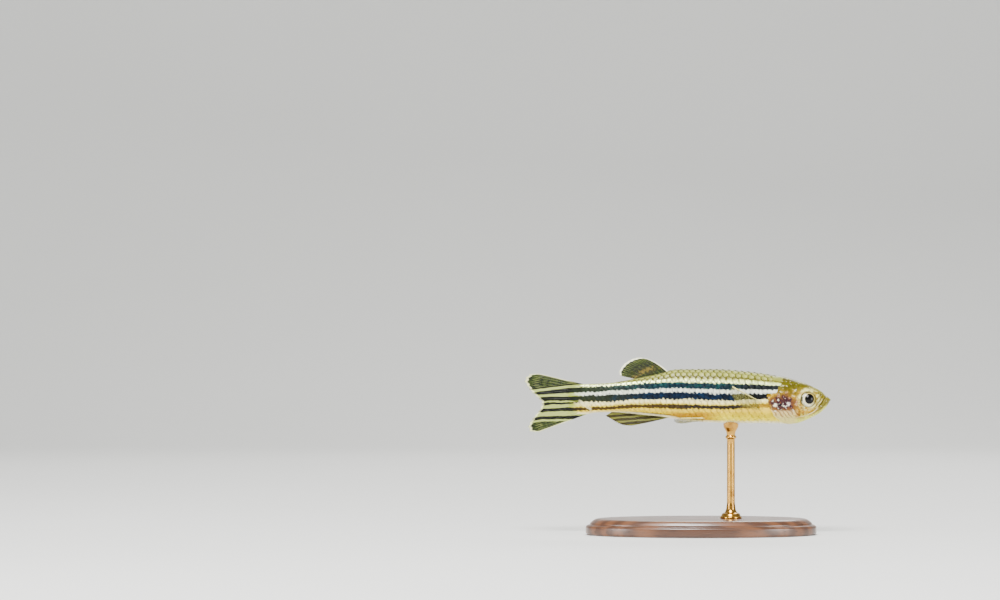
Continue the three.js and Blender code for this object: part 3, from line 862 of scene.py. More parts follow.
# %% [markdown]
# The skin
#
# One closed skin runs from the snout to the root of the tail fin, so that no seam shows between head, trunk and tail
# stalk. Its grid has rings along the fish, closest together on the head, and SKIN_SIDES points round each ring. The
# heights above push each point out or in along the surface's own normal, which matters at the snout, where the
# surface faces forwards. Behind the gill cover the skin lies a little deeper, which leaves room for the scales.

# %% Rings of the skin
HEAD_RINGS = 170
TRUNK_RINGS = 130
HEAD_SPREAD = 1.12
TRUNK_SPREAD = 1.05
SLIT_RINGS = ((-0.12, -0.2), (0.02, -0.26), (0.2, -0.16))
SLIT_LENGTH = 0.3
COAT_DEPTH = 0.08
head_share = (np.arange(HEAD_RINGS + 1) / HEAD_RINGS) ** HEAD_SPREAD
trunk_share = ((np.arange(TRUNK_RINGS) + 1) / TRUNK_RINGS) ** TRUNK_SPREAD

ring_s = [head_share[:, None] * edge_s]
ring_rise = [np.zeros((HEAD_RINGS + 1, SKIN_SIDES))]
for offset, depth in SLIT_RINGS:
    ring_s.append(np.where(slit_open > 0.02, edge_s + offset * slit_open, edge_s + 0.02)[None])
    ring_rise.append((depth * slit_open)[None])
tail_s = edge_s + SLIT_LENGTH + trunk_share[:, None] * (SKIN_END - edge_s - SLIT_LENGTH)
ring_s.append(tail_s)
ring_rise.append(-COAT_DEPTH * np.maximum(step(tail_s, edge_s, edge_s + 0.4), slit_open))
ring_s = np.concatenate(ring_s)
ring_rise = np.concatenate(ring_rise)
on_head = np.arange(len(ring_s))[:, None] <= HEAD_RINGS
print("skin grid:", ring_s.shape)

# %% Points of the skin
skin_y, skin_z = body_point(ring_s, skin_angles)
base_points = np.stack([-ring_s, skin_y, skin_z], axis=-1)


def grid_normals(points):
    """Outward normals of a grid that is closed round its second direction: the cross product of the differences
    along both directions."""
    along = np.gradient(points, axis=0)
    round_it = np.roll(points, -1, axis=1) - np.roll(points, 1, axis=1)
    normals = np.cross(round_it, along)
    normals /= np.maximum(np.linalg.norm(normals, axis=-1, keepdims=True), 1e-9)
    from_middle = points[..., 1:] - points[..., 1:].mean(axis=1, keepdims=True)
    return normals * np.sign((normals[..., 1:] * from_middle).sum(-1).mean())


smooth_s = np.concatenate([ring_s[:HEAD_RINGS + 1], np.linspace(0.05, 0.28, 3)[:, None] + edge_s, tail_s])
normal_y, normal_z = body_point(smooth_s, skin_angles)
skin_normals = grid_normals(np.stack([-smooth_s, normal_y, normal_z], axis=-1))
relief = np.where(on_head, head_relief(ring_s, skin_z, np.abs(skin_y)) + gill_swelling(ring_s, skin_angles), 0.0)
fade = gill_swelling(edge_s, skin_angles) * (1 - slit_open)
relief = relief + np.where(on_head, 0.0, fade * step(ring_s - edge_s, 1.2, 0.0))
skin_points = base_points + skin_normals * (relief + ring_rise)[..., None]
print("relief from", round(float(relief.min()), 2), "to", round(float(relief.max()), 2), "mm")

# %% Caps over the snout and the tail stalk's end
CAP_RINGS = 5


def cap(ring, forward):
    """Rings that shrink towards the middle of a ring while they move forward, like a dome, and a last point."""
    middle = ring.mean(axis=0)
    turn = (np.arange(CAP_RINGS) + 1) / (CAP_RINGS + 1) * math.pi / 2
    rings = middle + (ring - middle) * np.cos(turn)[:, None, None]
    rings[..., 0] += (forward * np.sin(turn))[:, None]
    return rings, middle + np.array([forward, 0, 0])


snout_rings, snout_tip = cap(skin_points[0], 0.1)
tail_rings, tail_tip = cap(skin_points[-1], -0.12)
all_rings = np.concatenate([snout_rings[::-1], skin_points, tail_rings])
skin_rows = len(all_rings)
place_s, place_y, place_z = np.concatenate([all_rings.reshape(-1, 3), snout_tip[None], tail_tip[None]]).T
place_s = -place_s
skin = make_piece("skin", in_frame(place_s, place_y, place_z), closed_faces(skin_rows, SKIN_SIDES), skin_finish,
                  marking_values(place_s, place_z))
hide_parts("head", "trunk", "tail_stalk")

# %% [markdown]
# The skin's map for baking
#
# An export bakes the finish into pictures, and for that every face needs a place of its own on a flat map. The
# skin's grid is nearly flat already: the place along the fish goes across the map, and the way round the body goes
# up it. The head has the finest markings, so it gets half as much again of the map's width. The scales will lie on
# the same map, each at the place of its root.

# %% Unwrap of the skin
MAP_MARGIN = 0.02
CAP_WIDTH = 0.5
FINE_END = 9.0
FINE_GAIN = 0.5
MAP_START = -CAP_WIDTH * (1 + FINE_GAIN)
MAP_END = SKIN_END + CAP_WIDTH + FINE_GAIN * FINE_END


def unwrap(s, turn):
    """The place on the map of a place along the fish and a share of the way round the body."""
    across = (s + FINE_GAIN * np.minimum(s, FINE_END) - MAP_START) / (MAP_END - MAP_START)
    return MAP_MARGIN + (1 - 2 * MAP_MARGIN) * np.stack(np.broadcast_arrays(across, turn), axis=-1)


def places_for_map():
    """The place s of every point of the skin, changed so that it grows from ring to ring: the rings in the slit lie
    evenly between those before and behind it, and those of the caps past the ends."""
    in_slit = (np.arange(len(SLIT_RINGS)) + 1)[:, None] / (len(SLIT_RINGS) + 1)
    in_cap = (np.arange(CAP_RINGS) + 1)[:, None] / (CAP_RINGS + 1) * CAP_WIDTH * np.ones(SKIN_SIDES)
    rings = [-in_cap[::-1], ring_s[:HEAD_RINGS + 1], edge_s + SLIT_LENGTH * in_slit, tail_s, SKIN_END + in_cap]
    return np.concatenate([np.concatenate(rings).ravel(), [-CAP_WIDTH, SKIN_END + CAP_WIDTH]])


def unwrap_skin(mesh):
    """Gives each corner its place on the map. Corners past the seam count on to a full turn, and a cap's tip lies in
    the middle between the two other corners of its face."""
    corner = np.empty(len(mesh.loops), dtype=np.int32)
    mesh.loops.foreach_get("vertex_index", corner)
    starts = np.empty(len(mesh.polygons), dtype=np.int32)
    totals = np.empty(len(mesh.polygons), dtype=np.int32)
    mesh.polygons.foreach_get("loop_start", starts)
    mesh.polygons.foreach_get("loop_total", totals)
    face_of = np.repeat(np.arange(len(starts)), totals)
    turn = np.where(corner < skin_rows * SKIN_SIDES, (corner % SKIN_SIDES + 0.5) / SKIN_SIDES, np.nan)
    wraps = (np.fmax.reduceat(turn, starts) - np.fmin.reduceat(turn, starts))[face_of] > 0.5
    turn = np.where(wraps & (turn < 0.5), turn + 1, turn)
    middle = (np.fmax.reduceat(turn, starts) + np.fmin.reduceat(turn, starts))[face_of] / 2
    turn = np.where(np.isnan(turn), middle, turn)
    layer = mesh.uv_layers.new(name="OFBake")
    layer.data.foreach_set("uv", unwrap(places_for_map()[corner], turn).astype(np.float32).ravel())
    print("unwrapped", len(corner), "corners")


unwrap_skin(skin.data)

# %% [markdown]
# Scales
#
# A danio's side is covered with some thirty thin round scales from head to tail, each lying over the one behind it
# like a roof tile, and in the photo they look finer still. Bump alone would leave the flank's outline and highlights
# flat, so each scale is a thin closed plate of a few dozen faces, and all plates are one mesh. A scale's place is a
# number along the fish and one round it, and its shape is a square bent into a disc.

# %% Places of the scales
SCALE_COLUMNS = 37
SCALE_ROWS = 26
FIRST_SCALE = 5.4
LAST_SCALE = 36.6
column, row = np.meshgrid(np.arange(SCALE_COLUMNS), np.arange(SCALE_ROWS), indexing="ij")
stagger = 0.5 * (np.minimum(row, SCALE_ROWS - 1 - row) % 2)
share = (column + stagger) / SCALE_COLUMNS
scale_s = FIRST_SCALE + (LAST_SCALE - FIRST_SCALE) * share * (1.2 - 0.2 * share)
scale_pitch = (LAST_SCALE - FIRST_SCALE) / SCALE_COLUMNS * (1.2 - 0.4 * share)
scale_turn = (row + 0.5) / SCALE_ROWS
scale_angle = math.pi / 2 + scale_turn * 2 * math.pi
kept = scale_s > gill_edge(scale_angle) - 0.05
scale_s, scale_pitch, scale_turn, scale_angle = (each[kept][:, None]
                                                 for each in (scale_s, scale_pitch, scale_turn, scale_angle))
print("scales:", len(scale_s))

# %% Shape of the scales
SCALE_GRID = 6
SCALE_LIFT = 0.062
SCALE_THICKNESS = 0.014
SCALE_TALL = 0.94
p, q = np.meshgrid(np.linspace(-1, 1, SCALE_GRID), np.linspace(-1, 1, SCALE_GRID), indexing="ij")
disc_p = (p * np.sqrt(1 - q * q / 2)).ravel()
disc_q = (q * np.sqrt(1 - p * p / 2)).ravel()
to_edge = np.hypot(disc_p, disc_q)
on_rim = to_edge > 0.999
varied = np.random.default_rng(7).uniform(-1, 1, (len(scale_s), 2))
plate_s = scale_s + scale_pitch * disc_p * (1 + 0.04 * varied[:, :1])
plate_angle = scale_angle + 2 * math.pi / SCALE_ROWS * SCALE_TALL * disc_q


def plate_points(under):
    """Points of all plates. A plate climbs from its sunk front edge to its free rear edge and sags to its sides. Its
    lower face is a little deeper, apart from the rim, where both faces meet."""
    lift = SCALE_LIFT * (1 - 0.66 * step(body_point(plate_s, plate_angle)[1], -1.4, -2.6)) * (1 + 0.12 * varied[:, 1:])
    height = -COAT_DEPTH - 0.005 + lift * (disc_p + 1) / 2 - 0.012 * disc_q**2
    height = height + (0.008 - under * SCALE_THICKNESS) * np.where(on_rim, 0, 1)
    y, z = body_point(plate_s, plate_angle, height)
    return np.stack([plate_s, y, z], axis=-1)


inner = np.flatnonzero(~on_rim)
plates = np.concatenate([plate_points(0), plate_points(1)[:, inner]], axis=1)
print("points of each plate:", plates.shape[1])

# %% The mesh of scales
# Each plate's lower faces come before its upper ones, so that the upper ones are baked last
lower_number = np.arange(len(disc_p))
lower_number[inner] = len(disc_p) + np.arange(len(inner))
quads = grid_faces(SCALE_GRID, SCALE_GRID)
one_plate = np.concatenate([lower_number[quads][:, ::-1], quads])
offsets = (np.arange(len(plates)) * plates.shape[1])[:, None, None]
scale_faces = (one_plate + offsets).reshape(-1, 4)

# Each scale has a patch of its own round its root's place on the skin's map, a little smaller than its share of it
PATCH = 0.46
patches = unwrap(scale_s + PATCH * scale_pitch * disc_p, scale_turn + PATCH / SCALE_ROWS * disc_q)
patches = np.concatenate([patches, patches[:, inner]], axis=1).reshape(-1, 2)
scale_places_s, scale_places_y, scale_places_z = plates.reshape(-1, 3).T
scale_values = marking_values(scale_places_s, scale_places_z)
free_edge = to_edge * (0.5 + 0.5 * (disc_p > -0.3))
scale_values["to_edge"] = np.tile(np.concatenate([free_edge, free_edge[inner]]), len(plates))
scale_values["shade"] = np.repeat(varied[:, 0] / 2 + 0.5, plates.shape[1])
make_piece("scales", in_frame(scale_places_s, scale_places_y, scale_places_z), scale_faces, scale_finish,
           scale_values, patches[scale_faces])

# %% [markdown]
# Fins
#
# A fin is a sheet of clear skin over a fan of bony rays. Each ray is a chain of short segments and splits into finer
# branches on its way out. A sheet with separate tubes on it would need hundreds of joints, so the fin is one closed
# surface instead: a grid from root to tip, whose thickness swells wherever a point is near a branch. The same
# nearness is stored on the points and tells the material where ray and membrane are.

# %% A fin from its root and tip lines
JOINT_PITCH = 0.32


def ray_nearness(across, reach, rays, spacing, width):
    """How close each point is to a branch, from 0 to 1. A ray is one line at first, two after its first fork and
    four after its second, and the branches drift apart until they are evenly spread."""
    nearest = np.round(across * (rays - 1))
    offset = across * (rays - 1) - nearest
    first_fork = 0.26 * step(reach, 0.42, 0.8)
    second_fork = 0.12 * step(reach, 0.7, 1.0)
    centres = [a * first_fork + b * second_fork for a in (-1, 1) for b in (-1, 1)]
    away = np.min([np.abs(offset - centre) for centre in centres], axis=0) * spacing
    return bell(away, width * (1 - 0.45 * reach))


def build_fin(name, root, tip, rays, through, bow=(0, 0, 0), wave=0.0, ray_width=0.055, rows=64, per_ray=9,
              edge=0.0, fleshy=0.0):
    """A fin as one closed grid. Each column is a curve from the root line to the tip line, with a bow that is
    strongest on the leading ray. The two faces stand half the thickness to both sides and meet at the edges. fleshy
    is the extra thickness of a soft root."""
    columns = (rays - 1) * per_ray + 1
    across = np.linspace(0, 1, columns)
    reach = np.linspace(0, 1, rows)[:, None] ** 0.9
    roots, tips = along_curve(root, across), along_curve(tip, across)
    run = tips - roots
    ray_phase = np.cos(2 * math.pi * across * (rays - 1))
    cut = 1 - edge * (1 - ray_phase) / 2
    middle = roots + run * (reach * cut)[..., None]
    middle = middle + np.array(bow) * ((1 - across) * 4 * reach * (1 - reach))[..., None]
    through = np.array(through, dtype=float)
    through /= np.linalg.norm(through)
    ripple = wave * np.sin(across * 9.0 + 1.3) * reach**2 + wave * 0.5 * np.sin(reach * 5 + across * 17) * reach
    middle = middle + through * ripple[..., None]

    spacing = np.linalg.norm(np.gradient(middle, axis=1), axis=-1) * per_ray
    near = ray_nearness(np.broadcast_to(across, middle.shape[:2]), reach, rays, spacing, ray_width)
    way_out = np.linalg.norm(run, axis=-1) * reach
    joints = bell(((way_out / JOINT_PITCH + 0.5) % 1) - 0.5, 0.14) * step(reach, 0.25, 0.4)
    lead = np.minimum(across, 1 - across) * (rays - 1)
    stout = 1 + 0.9 * bell(lead, 0.6)
    half = 0.022 + (0.085 - 0.055 * reach) * near * stout * (1 - 0.3 * joints)
    half = half + fleshy * step(reach, 0.3, 0.02) * np.sqrt(np.clip(4 * across * (1 - across), 0, 1))
    half = half * step(np.broadcast_to(lead, half.shape), -0.02, 0.25)
    half = half * np.sqrt(np.clip((1 - reach) * 12, 0, 1))
    half[:, [0, -1]] = 0
    half[-1] = 0

    upper = (middle + through * half[..., None]).reshape(-1, 3)
    lower = (middle - through * half[..., None]).reshape(-1, 3)
    numbers = np.arange(rows * columns).reshape(rows, columns)
    shared = np.zeros((rows, columns), dtype=bool)
    shared[:, [0, -1]] = True
    shared[-1] = True
    other = numbers.copy()
    free = np.flatnonzero(~shared.ravel())
    other.ravel()[free] = rows * columns + np.arange(len(free))
    quads = grid_faces(rows, columns)
    faces = np.concatenate([quads, other.ravel()[quads][:, ::-1]]).tolist()
    root_loop = numbers[0].tolist() + other[0, 1:-1][::-1].tolist()
    faces.append(root_loop[::-1])
    points = np.concatenate([upper, lower[free]])
    values = {"ray": near, "reach": np.broadcast_to(reach, near.shape),
              "lead": np.broadcast_to(across, near.shape), "joint": joints * near}
    values = {key: np.concatenate([value.ravel(), value.ravel()[free]]) for key, value in values.items()}
    return name, points, faces, values


def add_fin(built, material, *nodes):
    """Puts a fin into the scene with the body's markings, in place of its solids."""
    name, points, faces, values = built
    s, y, z = points.T
    values.update(marking_values(s, z))
    piece = make_piece(name, in_frame(s, y, z), faces, material, values)
    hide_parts(*nodes)
    return piece


print("nearness on a ray and half way to the next:", ray_nearness(np.array([0, 0.5]), 0.1, 2, 1.0, 0.055).round(2))

# %% [markdown]
# Fin finishes
#
# A danio's fins are clear skin over pale rays, but the photo shows them dark olive, so here the membrane is a dark
# olive tint that lets only a little light through, painted shade that stands for the dark seen through clear skin. The
# tail and the anal fin carry the stripes, the dorsal fin has a cream edge, and the paired fins are nearly clear. One
# group gives the base of all: rays, their joints, a cloudy membrane in painted shade and how much can be seen through.

# %% Fin materials
RAY_INPUTS = ["Ray", "Joint", "Reach"]


def make_ray_group():
    """From the mesh's own numbers to a colour, an alpha and a relief for any fin."""
    tree, entry = new_group("fin rays", RAY_INPUTS + ["Membrane", "Solid Rays"], ["Colour", "Alpha", "Relief"])
    ray = between(entry["Ray"], 0.45, 0.95)
    cloud = between(noise(tree, 1300, 3.0), 0.35, 0.65)
    # The membrane's dark olive is painted shade, which stands for the dark seen through clear skin; the rays are paler
    colour = blend(ray * 0.85, blend(cloud, (18, 26, 10), (44, 54, 22)), (104, 112, 54))
    colour = blend(between(entry["Joint"], 0.3, 0.9) * 0.6, colour, (92, 82, 36))
    alpha = sums("ADD", entry["Membrane"] + ray * entry["Solid Rays"], cloud * 0.08, clamp=True)
    alpha = highest(alpha, between(entry["Reach"], 0.12, 0.04))
    return finish_group(tree, colour, alpha, noise(tree, 7000, 2.0))


ray_group = make_ray_group()


def start_fin_material(name, membrane, solid_rays):
    """A fin material with the ray group in place. membrane is how dense the skin between the rays is, and solid_rays
    how much denser the rays are. Returns the material, its tree and shader, and the group's colour and alpha."""
    material, tree, shader = new_material(name, Roughness=0.45, IOR=1.38, Specular_IOR_Level=0.18, Coat_Weight=0.08,
                                          Coat_Roughness=0.15)
    inputs = {socket: named(tree, socket.lower()) for socket in RAY_INPUTS}
    rays = use_group(tree, ray_group, {**inputs, "Membrane": membrane, "Solid Rays": solid_rays})
    fill(shader, {"Normal": bump(rays["Relief"], 0.2, 0.02 * MM)})
    return material, tree, shader, rays["Colour"], rays["Alpha"]


def tail_material():
    """The flank's stripes run on over the tail. The lobes above and below them are dark olive, painted shade that
    stands for the dark seen through clear skin, with a pale rim.
    """
    material, tree, shader, colour, alpha = start_fin_material("tail fin", 0.88, 0.1)
    lines = use_group(tree, tail_stripes, {"Stripe": named(tree, "stripe")})
    lined = highest(lines["Dark"], lines["Pale"])
    reach, lead = named(tree, "reach"), named(tree, "lead")
    colour = blend(lined * 0.95, colour, lines["Colour"])
    rim = highest(between(lead, 0.035, 0.015), between(lead, 0.965, 0.985))
    rim = highest(rim, between(reach, 0.945, 0.975)) * (1.0 - lines["Dark"] * 0.5)
    colour = blend(rim * 0.85, colour, (234, 234, 176))
    root = between(named(tree, "along"), 39.0, 37.6)
    solid = highest(highest(lined * 0.96, root), rim * 0.88)
    fill(shader, {"Base Color": blend(root, colour, lines["Colour"]), "Alpha": highest(alpha, solid)})
    return material


def dorsal_material():
    """Dark olive, painted shade that stands for the dark seen through clear skin, with a cream leading and outer edge,
    olive speckles and an ochre line near the root.
    """
    material, tree, shader, colour, alpha = start_fin_material("dorsal fin", 0.84, 0.1)
    reach, lead = named(tree, "reach"), named(tree, "lead")
    speckles = between(noise(tree, 2400, 3.0, (0.6, 1, 1.4)), 0.46, 0.56) * between(reach, 0.85, 0.4)
    colour = blend(speckles * 0.85, colour, (44, 44, 16))
    ochre = between(reach, 0.22, 0.3) * between(reach, 0.5, 0.38) * between(noise(tree, 1500, 2.0), 0.4, 0.6)
    colour = blend(ochre * 0.6, colour, (128, 108, 44))
    rim = highest(between(reach, 0.91, 0.95), between(lead, 0.05, 0.025))
    solid = highest(rim * 0.95, speckles * 0.85)
    fill(shader, {"Base Color": blend(rim, colour, (244, 244, 206)), "Alpha": highest(alpha, solid)})
    return material


def anal_material():
    """Olive and dark lines that run back along the fin, nearly level."""
    material, tree, shader, colour, alpha = start_fin_material("anal fin", 0.75, 0.2)
    slope = (named(tree, "along") - 23.5) * 0.085
    level = named(tree, "height") + slope + noise(tree, 1900, 3.0, (0.4, 1, 1)) * 0.22
    dark = between(sine(level * (2 * math.pi / 0.62)), -0.6, -0.1)
    colour = blend(0.7, colour, (120, 118, 34))
    fill(shader, {"Base Color": blend(dark * 0.92, colour, (34, 26, 6)), "Alpha": highest(alpha, dark * 0.2 + 0.78)})
    return material


def paired_material():
    """Nearly clear, with a pale stout leading ray and a root in the colour of the flank."""
    material, tree, shader, colour, alpha = start_fin_material("paired fins", 0.1, 0.25)
    lead = between(named(tree, "lead"), 0.09, 0.02)
    colour = blend(lead * 0.85, blend(0.7, colour, (150, 142, 62)), (232, 222, 140))
    colour = blend(between(named(tree, "reach"), 0.2, 0.06) * 0.9, colour, (188, 156, 84))
    fill(shader, {"Base Color": colour, "Alpha": highest(alpha, lead * 0.95)})
    return material


tail_finish, dorsal_finish = tail_material(), dorsal_material()
anal_finish, paired_finish = anal_material(), paired_material()
print("fin finishes:", tail_finish.name, dorsal_finish.name, anal_finish.name, paired_finish.name)

# %% [markdown]
# The five kinds of fin
#
# The tail fin is one forked sheet of 20 rays, whose outline here runs from the upper lobe's tip round the fork to
# the lower one. The dorsal fin is half raised and sweeps back, the anal fin is folded against the tail stalk, the
# pectoral fins stand out behind the gill covers with their tips up, and the pelvic fins lie along the belly.

# %% Tail, dorsal and anal fins
SIDEWAYS = (0, 1, 0)


def midline(pairs):
    """Places on the fish's middle plane from (s, z) pairs."""
    return [(s, 0, z) for s, z in pairs]


tail_root = midline([(35.9, 2.1), (35.9, 0), (35.9, -2.3)])
tail_tip = midline([
    (42.9, 3.72), (44.3, 3.58), (45, 2.75), (44.65, 1.96), (43.97, 1.03), (43.1, 0.22), (42.5, -0.42),
    (42.5, -0.85), (42.75, -1.55), (43.4, -2.4), (44.07, -3.3), (44.45, -4.1), (44.2, -4.78), (42.9, -4.9),
])
add_fin(
    build_fin("tail_fin", tail_root, tail_tip, 20, SIDEWAYS, wave=0.05, rows=72, per_ray=10, edge=0.02),
    tail_finish, "tail_fin_upper", "tail_fin_lower")

dorsal_root = midline([(s, float(back(s)) - 0.35) for s in (23.7, 25.2, 26.6, 28.1)])
dorsal_tip = midline([
    (27.1, 5.98), (28.1, 6.12), (29.2, 5.86), (30.2, 5.28), (30.85, 4.5), (31.05, 3.9), (30.9, 3.42),
])
add_fin(
    build_fin("dorsal_fin", dorsal_root, dorsal_tip, 9, SIDEWAYS, bow=(-0.12, 0, 0.22), wave=0.05, edge=0.02),
    dorsal_finish, "dorsal_fin")

anal_root = midline([(23.1, -2.55), (26, -2.1), (29, -1.8), (31.6, -1.6)])
anal_tip = midline([(29.5, -3.98), (30.6, -3.88), (31.5, -3.5), (32.2, -3.05), (33.1, -2.5)])
add_fin(
    build_fin("anal_fin", anal_root, anal_tip, 14, SIDEWAYS, bow=(0, 0, -0.1), wave=0.05, edge=0.05),
    anal_finish, "anal_fin")

# %% Pectoral and pelvic fins


def beside(side, places):
    """Places by one side of the fish from (s, distance from the skin, z)."""
    return [(s, side * (float(surface_y(np.array(s), np.array(z))) + out), z) for s, out, z in places]


for side_name, side in SIDES.items():
    name = f"pectoral_fin_{side_name}"
    root = beside(side, [(9.35, -0.5, -0.85), (9.75, -0.5, -1.8)])
    tip = beside(side, [(14.6, 1.75, 2), (15.05, 1.85, 1.5), (14.9, 1.75, 0.8), (14.2, 1.6, -0.1), (13.1, 1.3, -1)])
    built = build_fin(name, root, tip, 11, (0.32, side, -0.1), wave=0.06, edge=0.03, fleshy=0.14)
    add_fin(built, paired_finish, name)

    name = f"pelvic_fin_{side_name}"
    root = [(18.2, side * 1.1, -2.75), (18.6, side * 0.45, -3.15)]
    tip = [(22.2, side * 2.65, -2.7), (22.9, side * 2.4, -3.05), (22.95, side * 2, -3.35), (22.3, side * 1.45, -3.6)]
    built = build_fin(name, root, tip, 8, (0.15, side * 0.62, -1), wave=0.05, edge=0.03, fleshy=0.1)
    add_fin(built, paired_finish, name)

# %% [markdown]
# Eyes
#
# A fish's eye is a flattened ball with a large black pupil and a mirror-bright iris, under a clear bulging cornea.
# A glass shell would hide most of the iris in reflections at this size, so the eye is one ball whose finish paints
# pupil, iris and dark rim by the distance from the pupil's middle, under a clear coat.

# %% Eye finish
PUPIL = {"s": 3.2, "z": 0.06, "wide": 0.68, "tall": 0.74}


def eye_material():
    """Pupil, gold pupil ring, silvery iris with fine spokes and dark spots above and behind, and a dark rim."""
    material, tree, shader = new_material("eye", Roughness=0.3, IOR=1.34, Specular_IOR_Level=0.2, Coat_Weight=0.5,
                                          Coat_Roughness=0.02, Coat_IOR=1.34)
    x, _, z = object_axes(tree)
    aside, above = x / MM - (SNOUT_X - PUPIL["s"]), z / MM - (EYE_LEVEL + PUPIL["z"])
    wide, tall = aside / PUPIL["wide"], above / PUPIL["tall"]
    out = distance(wide, tall)
    spokes = {0: sums("ARCTAN2", tall, wide) * 0.004, 1: out * 0.0006}
    spokes = Value(add_node(tree, "ShaderNodeCombineXYZ", spokes).outputs[0])
    fibre = between(noise(tree, 2600, 4.0, place=spokes), 0.35, 0.65)
    bright = between(aside * -0.8 + above * -0.6, -0.5, 0.45)
    iris = blend(bright, (112, 100, 38), (232, 234, 204))
    iris = blend(fibre * bright * 0.35, iris, (250, 250, 232))
    iris = blend(between(noise(tree, 1900, 3.0), 0.5, 0.62) * 0.5, iris, (150, 138, 62))
    top = between(above, 0.6, 0.88) * between(abs(aside), 0.8, 0.3)
    rear = between(aside, -0.78, -0.98) * between(abs(above), 0.5, 0.2)
    iris = blend(highest(top, rear) * 0.85, iris, (66, 58, 24))
    iris = blend(between(out, 1.02, 1.06) * between(out, 1.22, 1.12) * 0.6, iris, (222, 196, 110))
    from_middle = distance(aside - (PUPIL["s"] - EYE["s"]), above - (EYE["z"] - PUPIL["z"]))
    iris = blend(between(from_middle, 1.0, 1.1) * 0.6, iris, (96, 86, 40))
    pupil = between(out, 1.05, 0.97)
    fill(shader, {"Base Color": blend(pupil, iris, (1, 1, 2)),
                  "Metallic": sums("SUBTRACT", 1.0, pupil, clamp=True) * bright * 0.35})
    return material


eye_finish = eye_material()
print("eye finish:", eye_finish.name)

# %% Eyeballs
EYE_RINGS = 40
EYE_SIDES = 72


def build_eye(side):
    """A flattened ball, turned a little to the front, with a low bulge where the lens stands out of the pupil."""
    polar = ((np.arange(EYE_RINGS) + 1) / (EYE_RINGS + 1) * math.pi)[:, None]
    turn = np.arange(EYE_SIDES) / EYE_SIDES * 2 * math.pi
    ball = np.broadcast_arrays(np.sin(polar) * np.cos(turn), np.cos(polar), np.sin(polar) * np.sin(turn))
    ball = np.concatenate([np.stack(ball, axis=-1).reshape(-1, 3), [[0, 1, 0], [0, -1, 0]]])
    x, y, z = (ball * [EYE["radius"], EYE["depth"], EYE["radius"]]).T
    from_pupil = np.hypot(x - (EYE["s"] - PUPIL["s"]), z - (PUPIL["z"] - EYE["z"]))
    y = y + np.where(y > 0, 0.06 * step(from_pupil, 0.75, 0.45), 0)
    turned_x = x * math.cos(EYE["turn"]) + y * math.sin(EYE["turn"])
    turned_y = y * math.cos(EYE["turn"]) - x * math.sin(EYE["turn"])
    return in_frame(EYE["s"] - turned_x, side * (EYE["outward"] + turned_y), EYE["z"] + z)


for side_name, side in SIDES.items():
    eyeball = make_piece(f"eye_{side_name}", build_eye(side), closed_faces(EYE_RINGS, EYE_SIDES), eye_finish)
    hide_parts(f"eye_{side_name}")

# %% [markdown]
# Barbels
#
# Two pairs of soft feelers hang from the snout's edge and the corners of the mouth. Each is a tube carried along a
# smooth path, thinner towards its tip, with the head's pale skin.

# %% Barbels


def barbel_material():
    """Pale yellowish skin, darker in small flecks."""
    material, tree, shader = new_material("barbel", Roughness=0.4, IOR=1.4, Coat_Weight=0.4, Coat_Roughness=0.15)
    flecks = between(noise(tree, 4200, 2.0), 0.5, 0.66)
    fill(shader, {"Base Color": blend(flecks * 0.4, (172, 158, 92), (104, 88, 38)),
                  "Normal": bump(noise(tree, 6000, 2.0), 0.25, 0.02 * MM)})
    return material


barbel_finish = barbel_material()


def build_tube(path, radii, sides=12):
    """Circles round a path. Each stands square to the path, on two directions made from it and the vertical."""
    path = np.array(path)
    ahead = np.gradient(path, axis=0)
    ahead /= np.linalg.norm(ahead, axis=1, keepdims=True)
    aside = np.cross(ahead, [0.1, 0.2, 1.0])
    aside /= np.linalg.norm(aside, axis=1, keepdims=True)
    upward = np.cross(aside, ahead)
    turn = np.arange(sides) / sides * 2 * math.pi
    circle = aside[:, None] * np.cos(turn)[:, None] + upward[:, None] * np.sin(turn)[:, None]
    points = (path[:, None] + circle * np.array(radii)[:, None, None]).reshape(-1, 3)
    points = np.concatenate([points, path[:1], path[-1:] + ahead[-1:] * radii[-1]])
    return points, closed_faces(len(path), sides)


BARBELS = {
    "front": [(1.26, -0.4, 0.05), (1.3, 0.05, 0), (1.45, 0.38, -0.3), (1.9, 0.5, -0.85), (2.45, 0.5, -1.3)],
    "rear": [(1.86, -0.4, -1.15), (1.95, 0.05, -1.3), (2.6, 0.34, -1.9), (4.2, 0.42, -2.5), (5.7, 0.46, -2.72),
             (6.9, 0.5, -2.8)],
}
for side_name, side in SIDES.items():
    for place, stations in BARBELS.items():
        share = np.linspace(0, 1, 44)
        path = along_curve(beside(side, stations), share)
        radii = 0.085 * (1 - share) ** 0.7 + 0.02
        tube_points, tube_faces = build_tube(path, radii)
        tube_s, tube_y, tube_z = tube_points.T
        feeler = make_piece(f"barbel_{place}_{side_name}", in_frame(tube_s, tube_y, tube_z), tube_faces,
                            barbel_finish)
        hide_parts(f"barbel_{place}_{side_name}")

# %% [markdown]
# The stand
#
# Small museum models stand on a turned rod over a wooden base. The base is an oval with a stepped and rounded edge,
# a profile carried round an ellipse. The rod is a profile carried round a circle, and its cup takes the shape of the
# belly that lies in it.

# %% Wood and brass


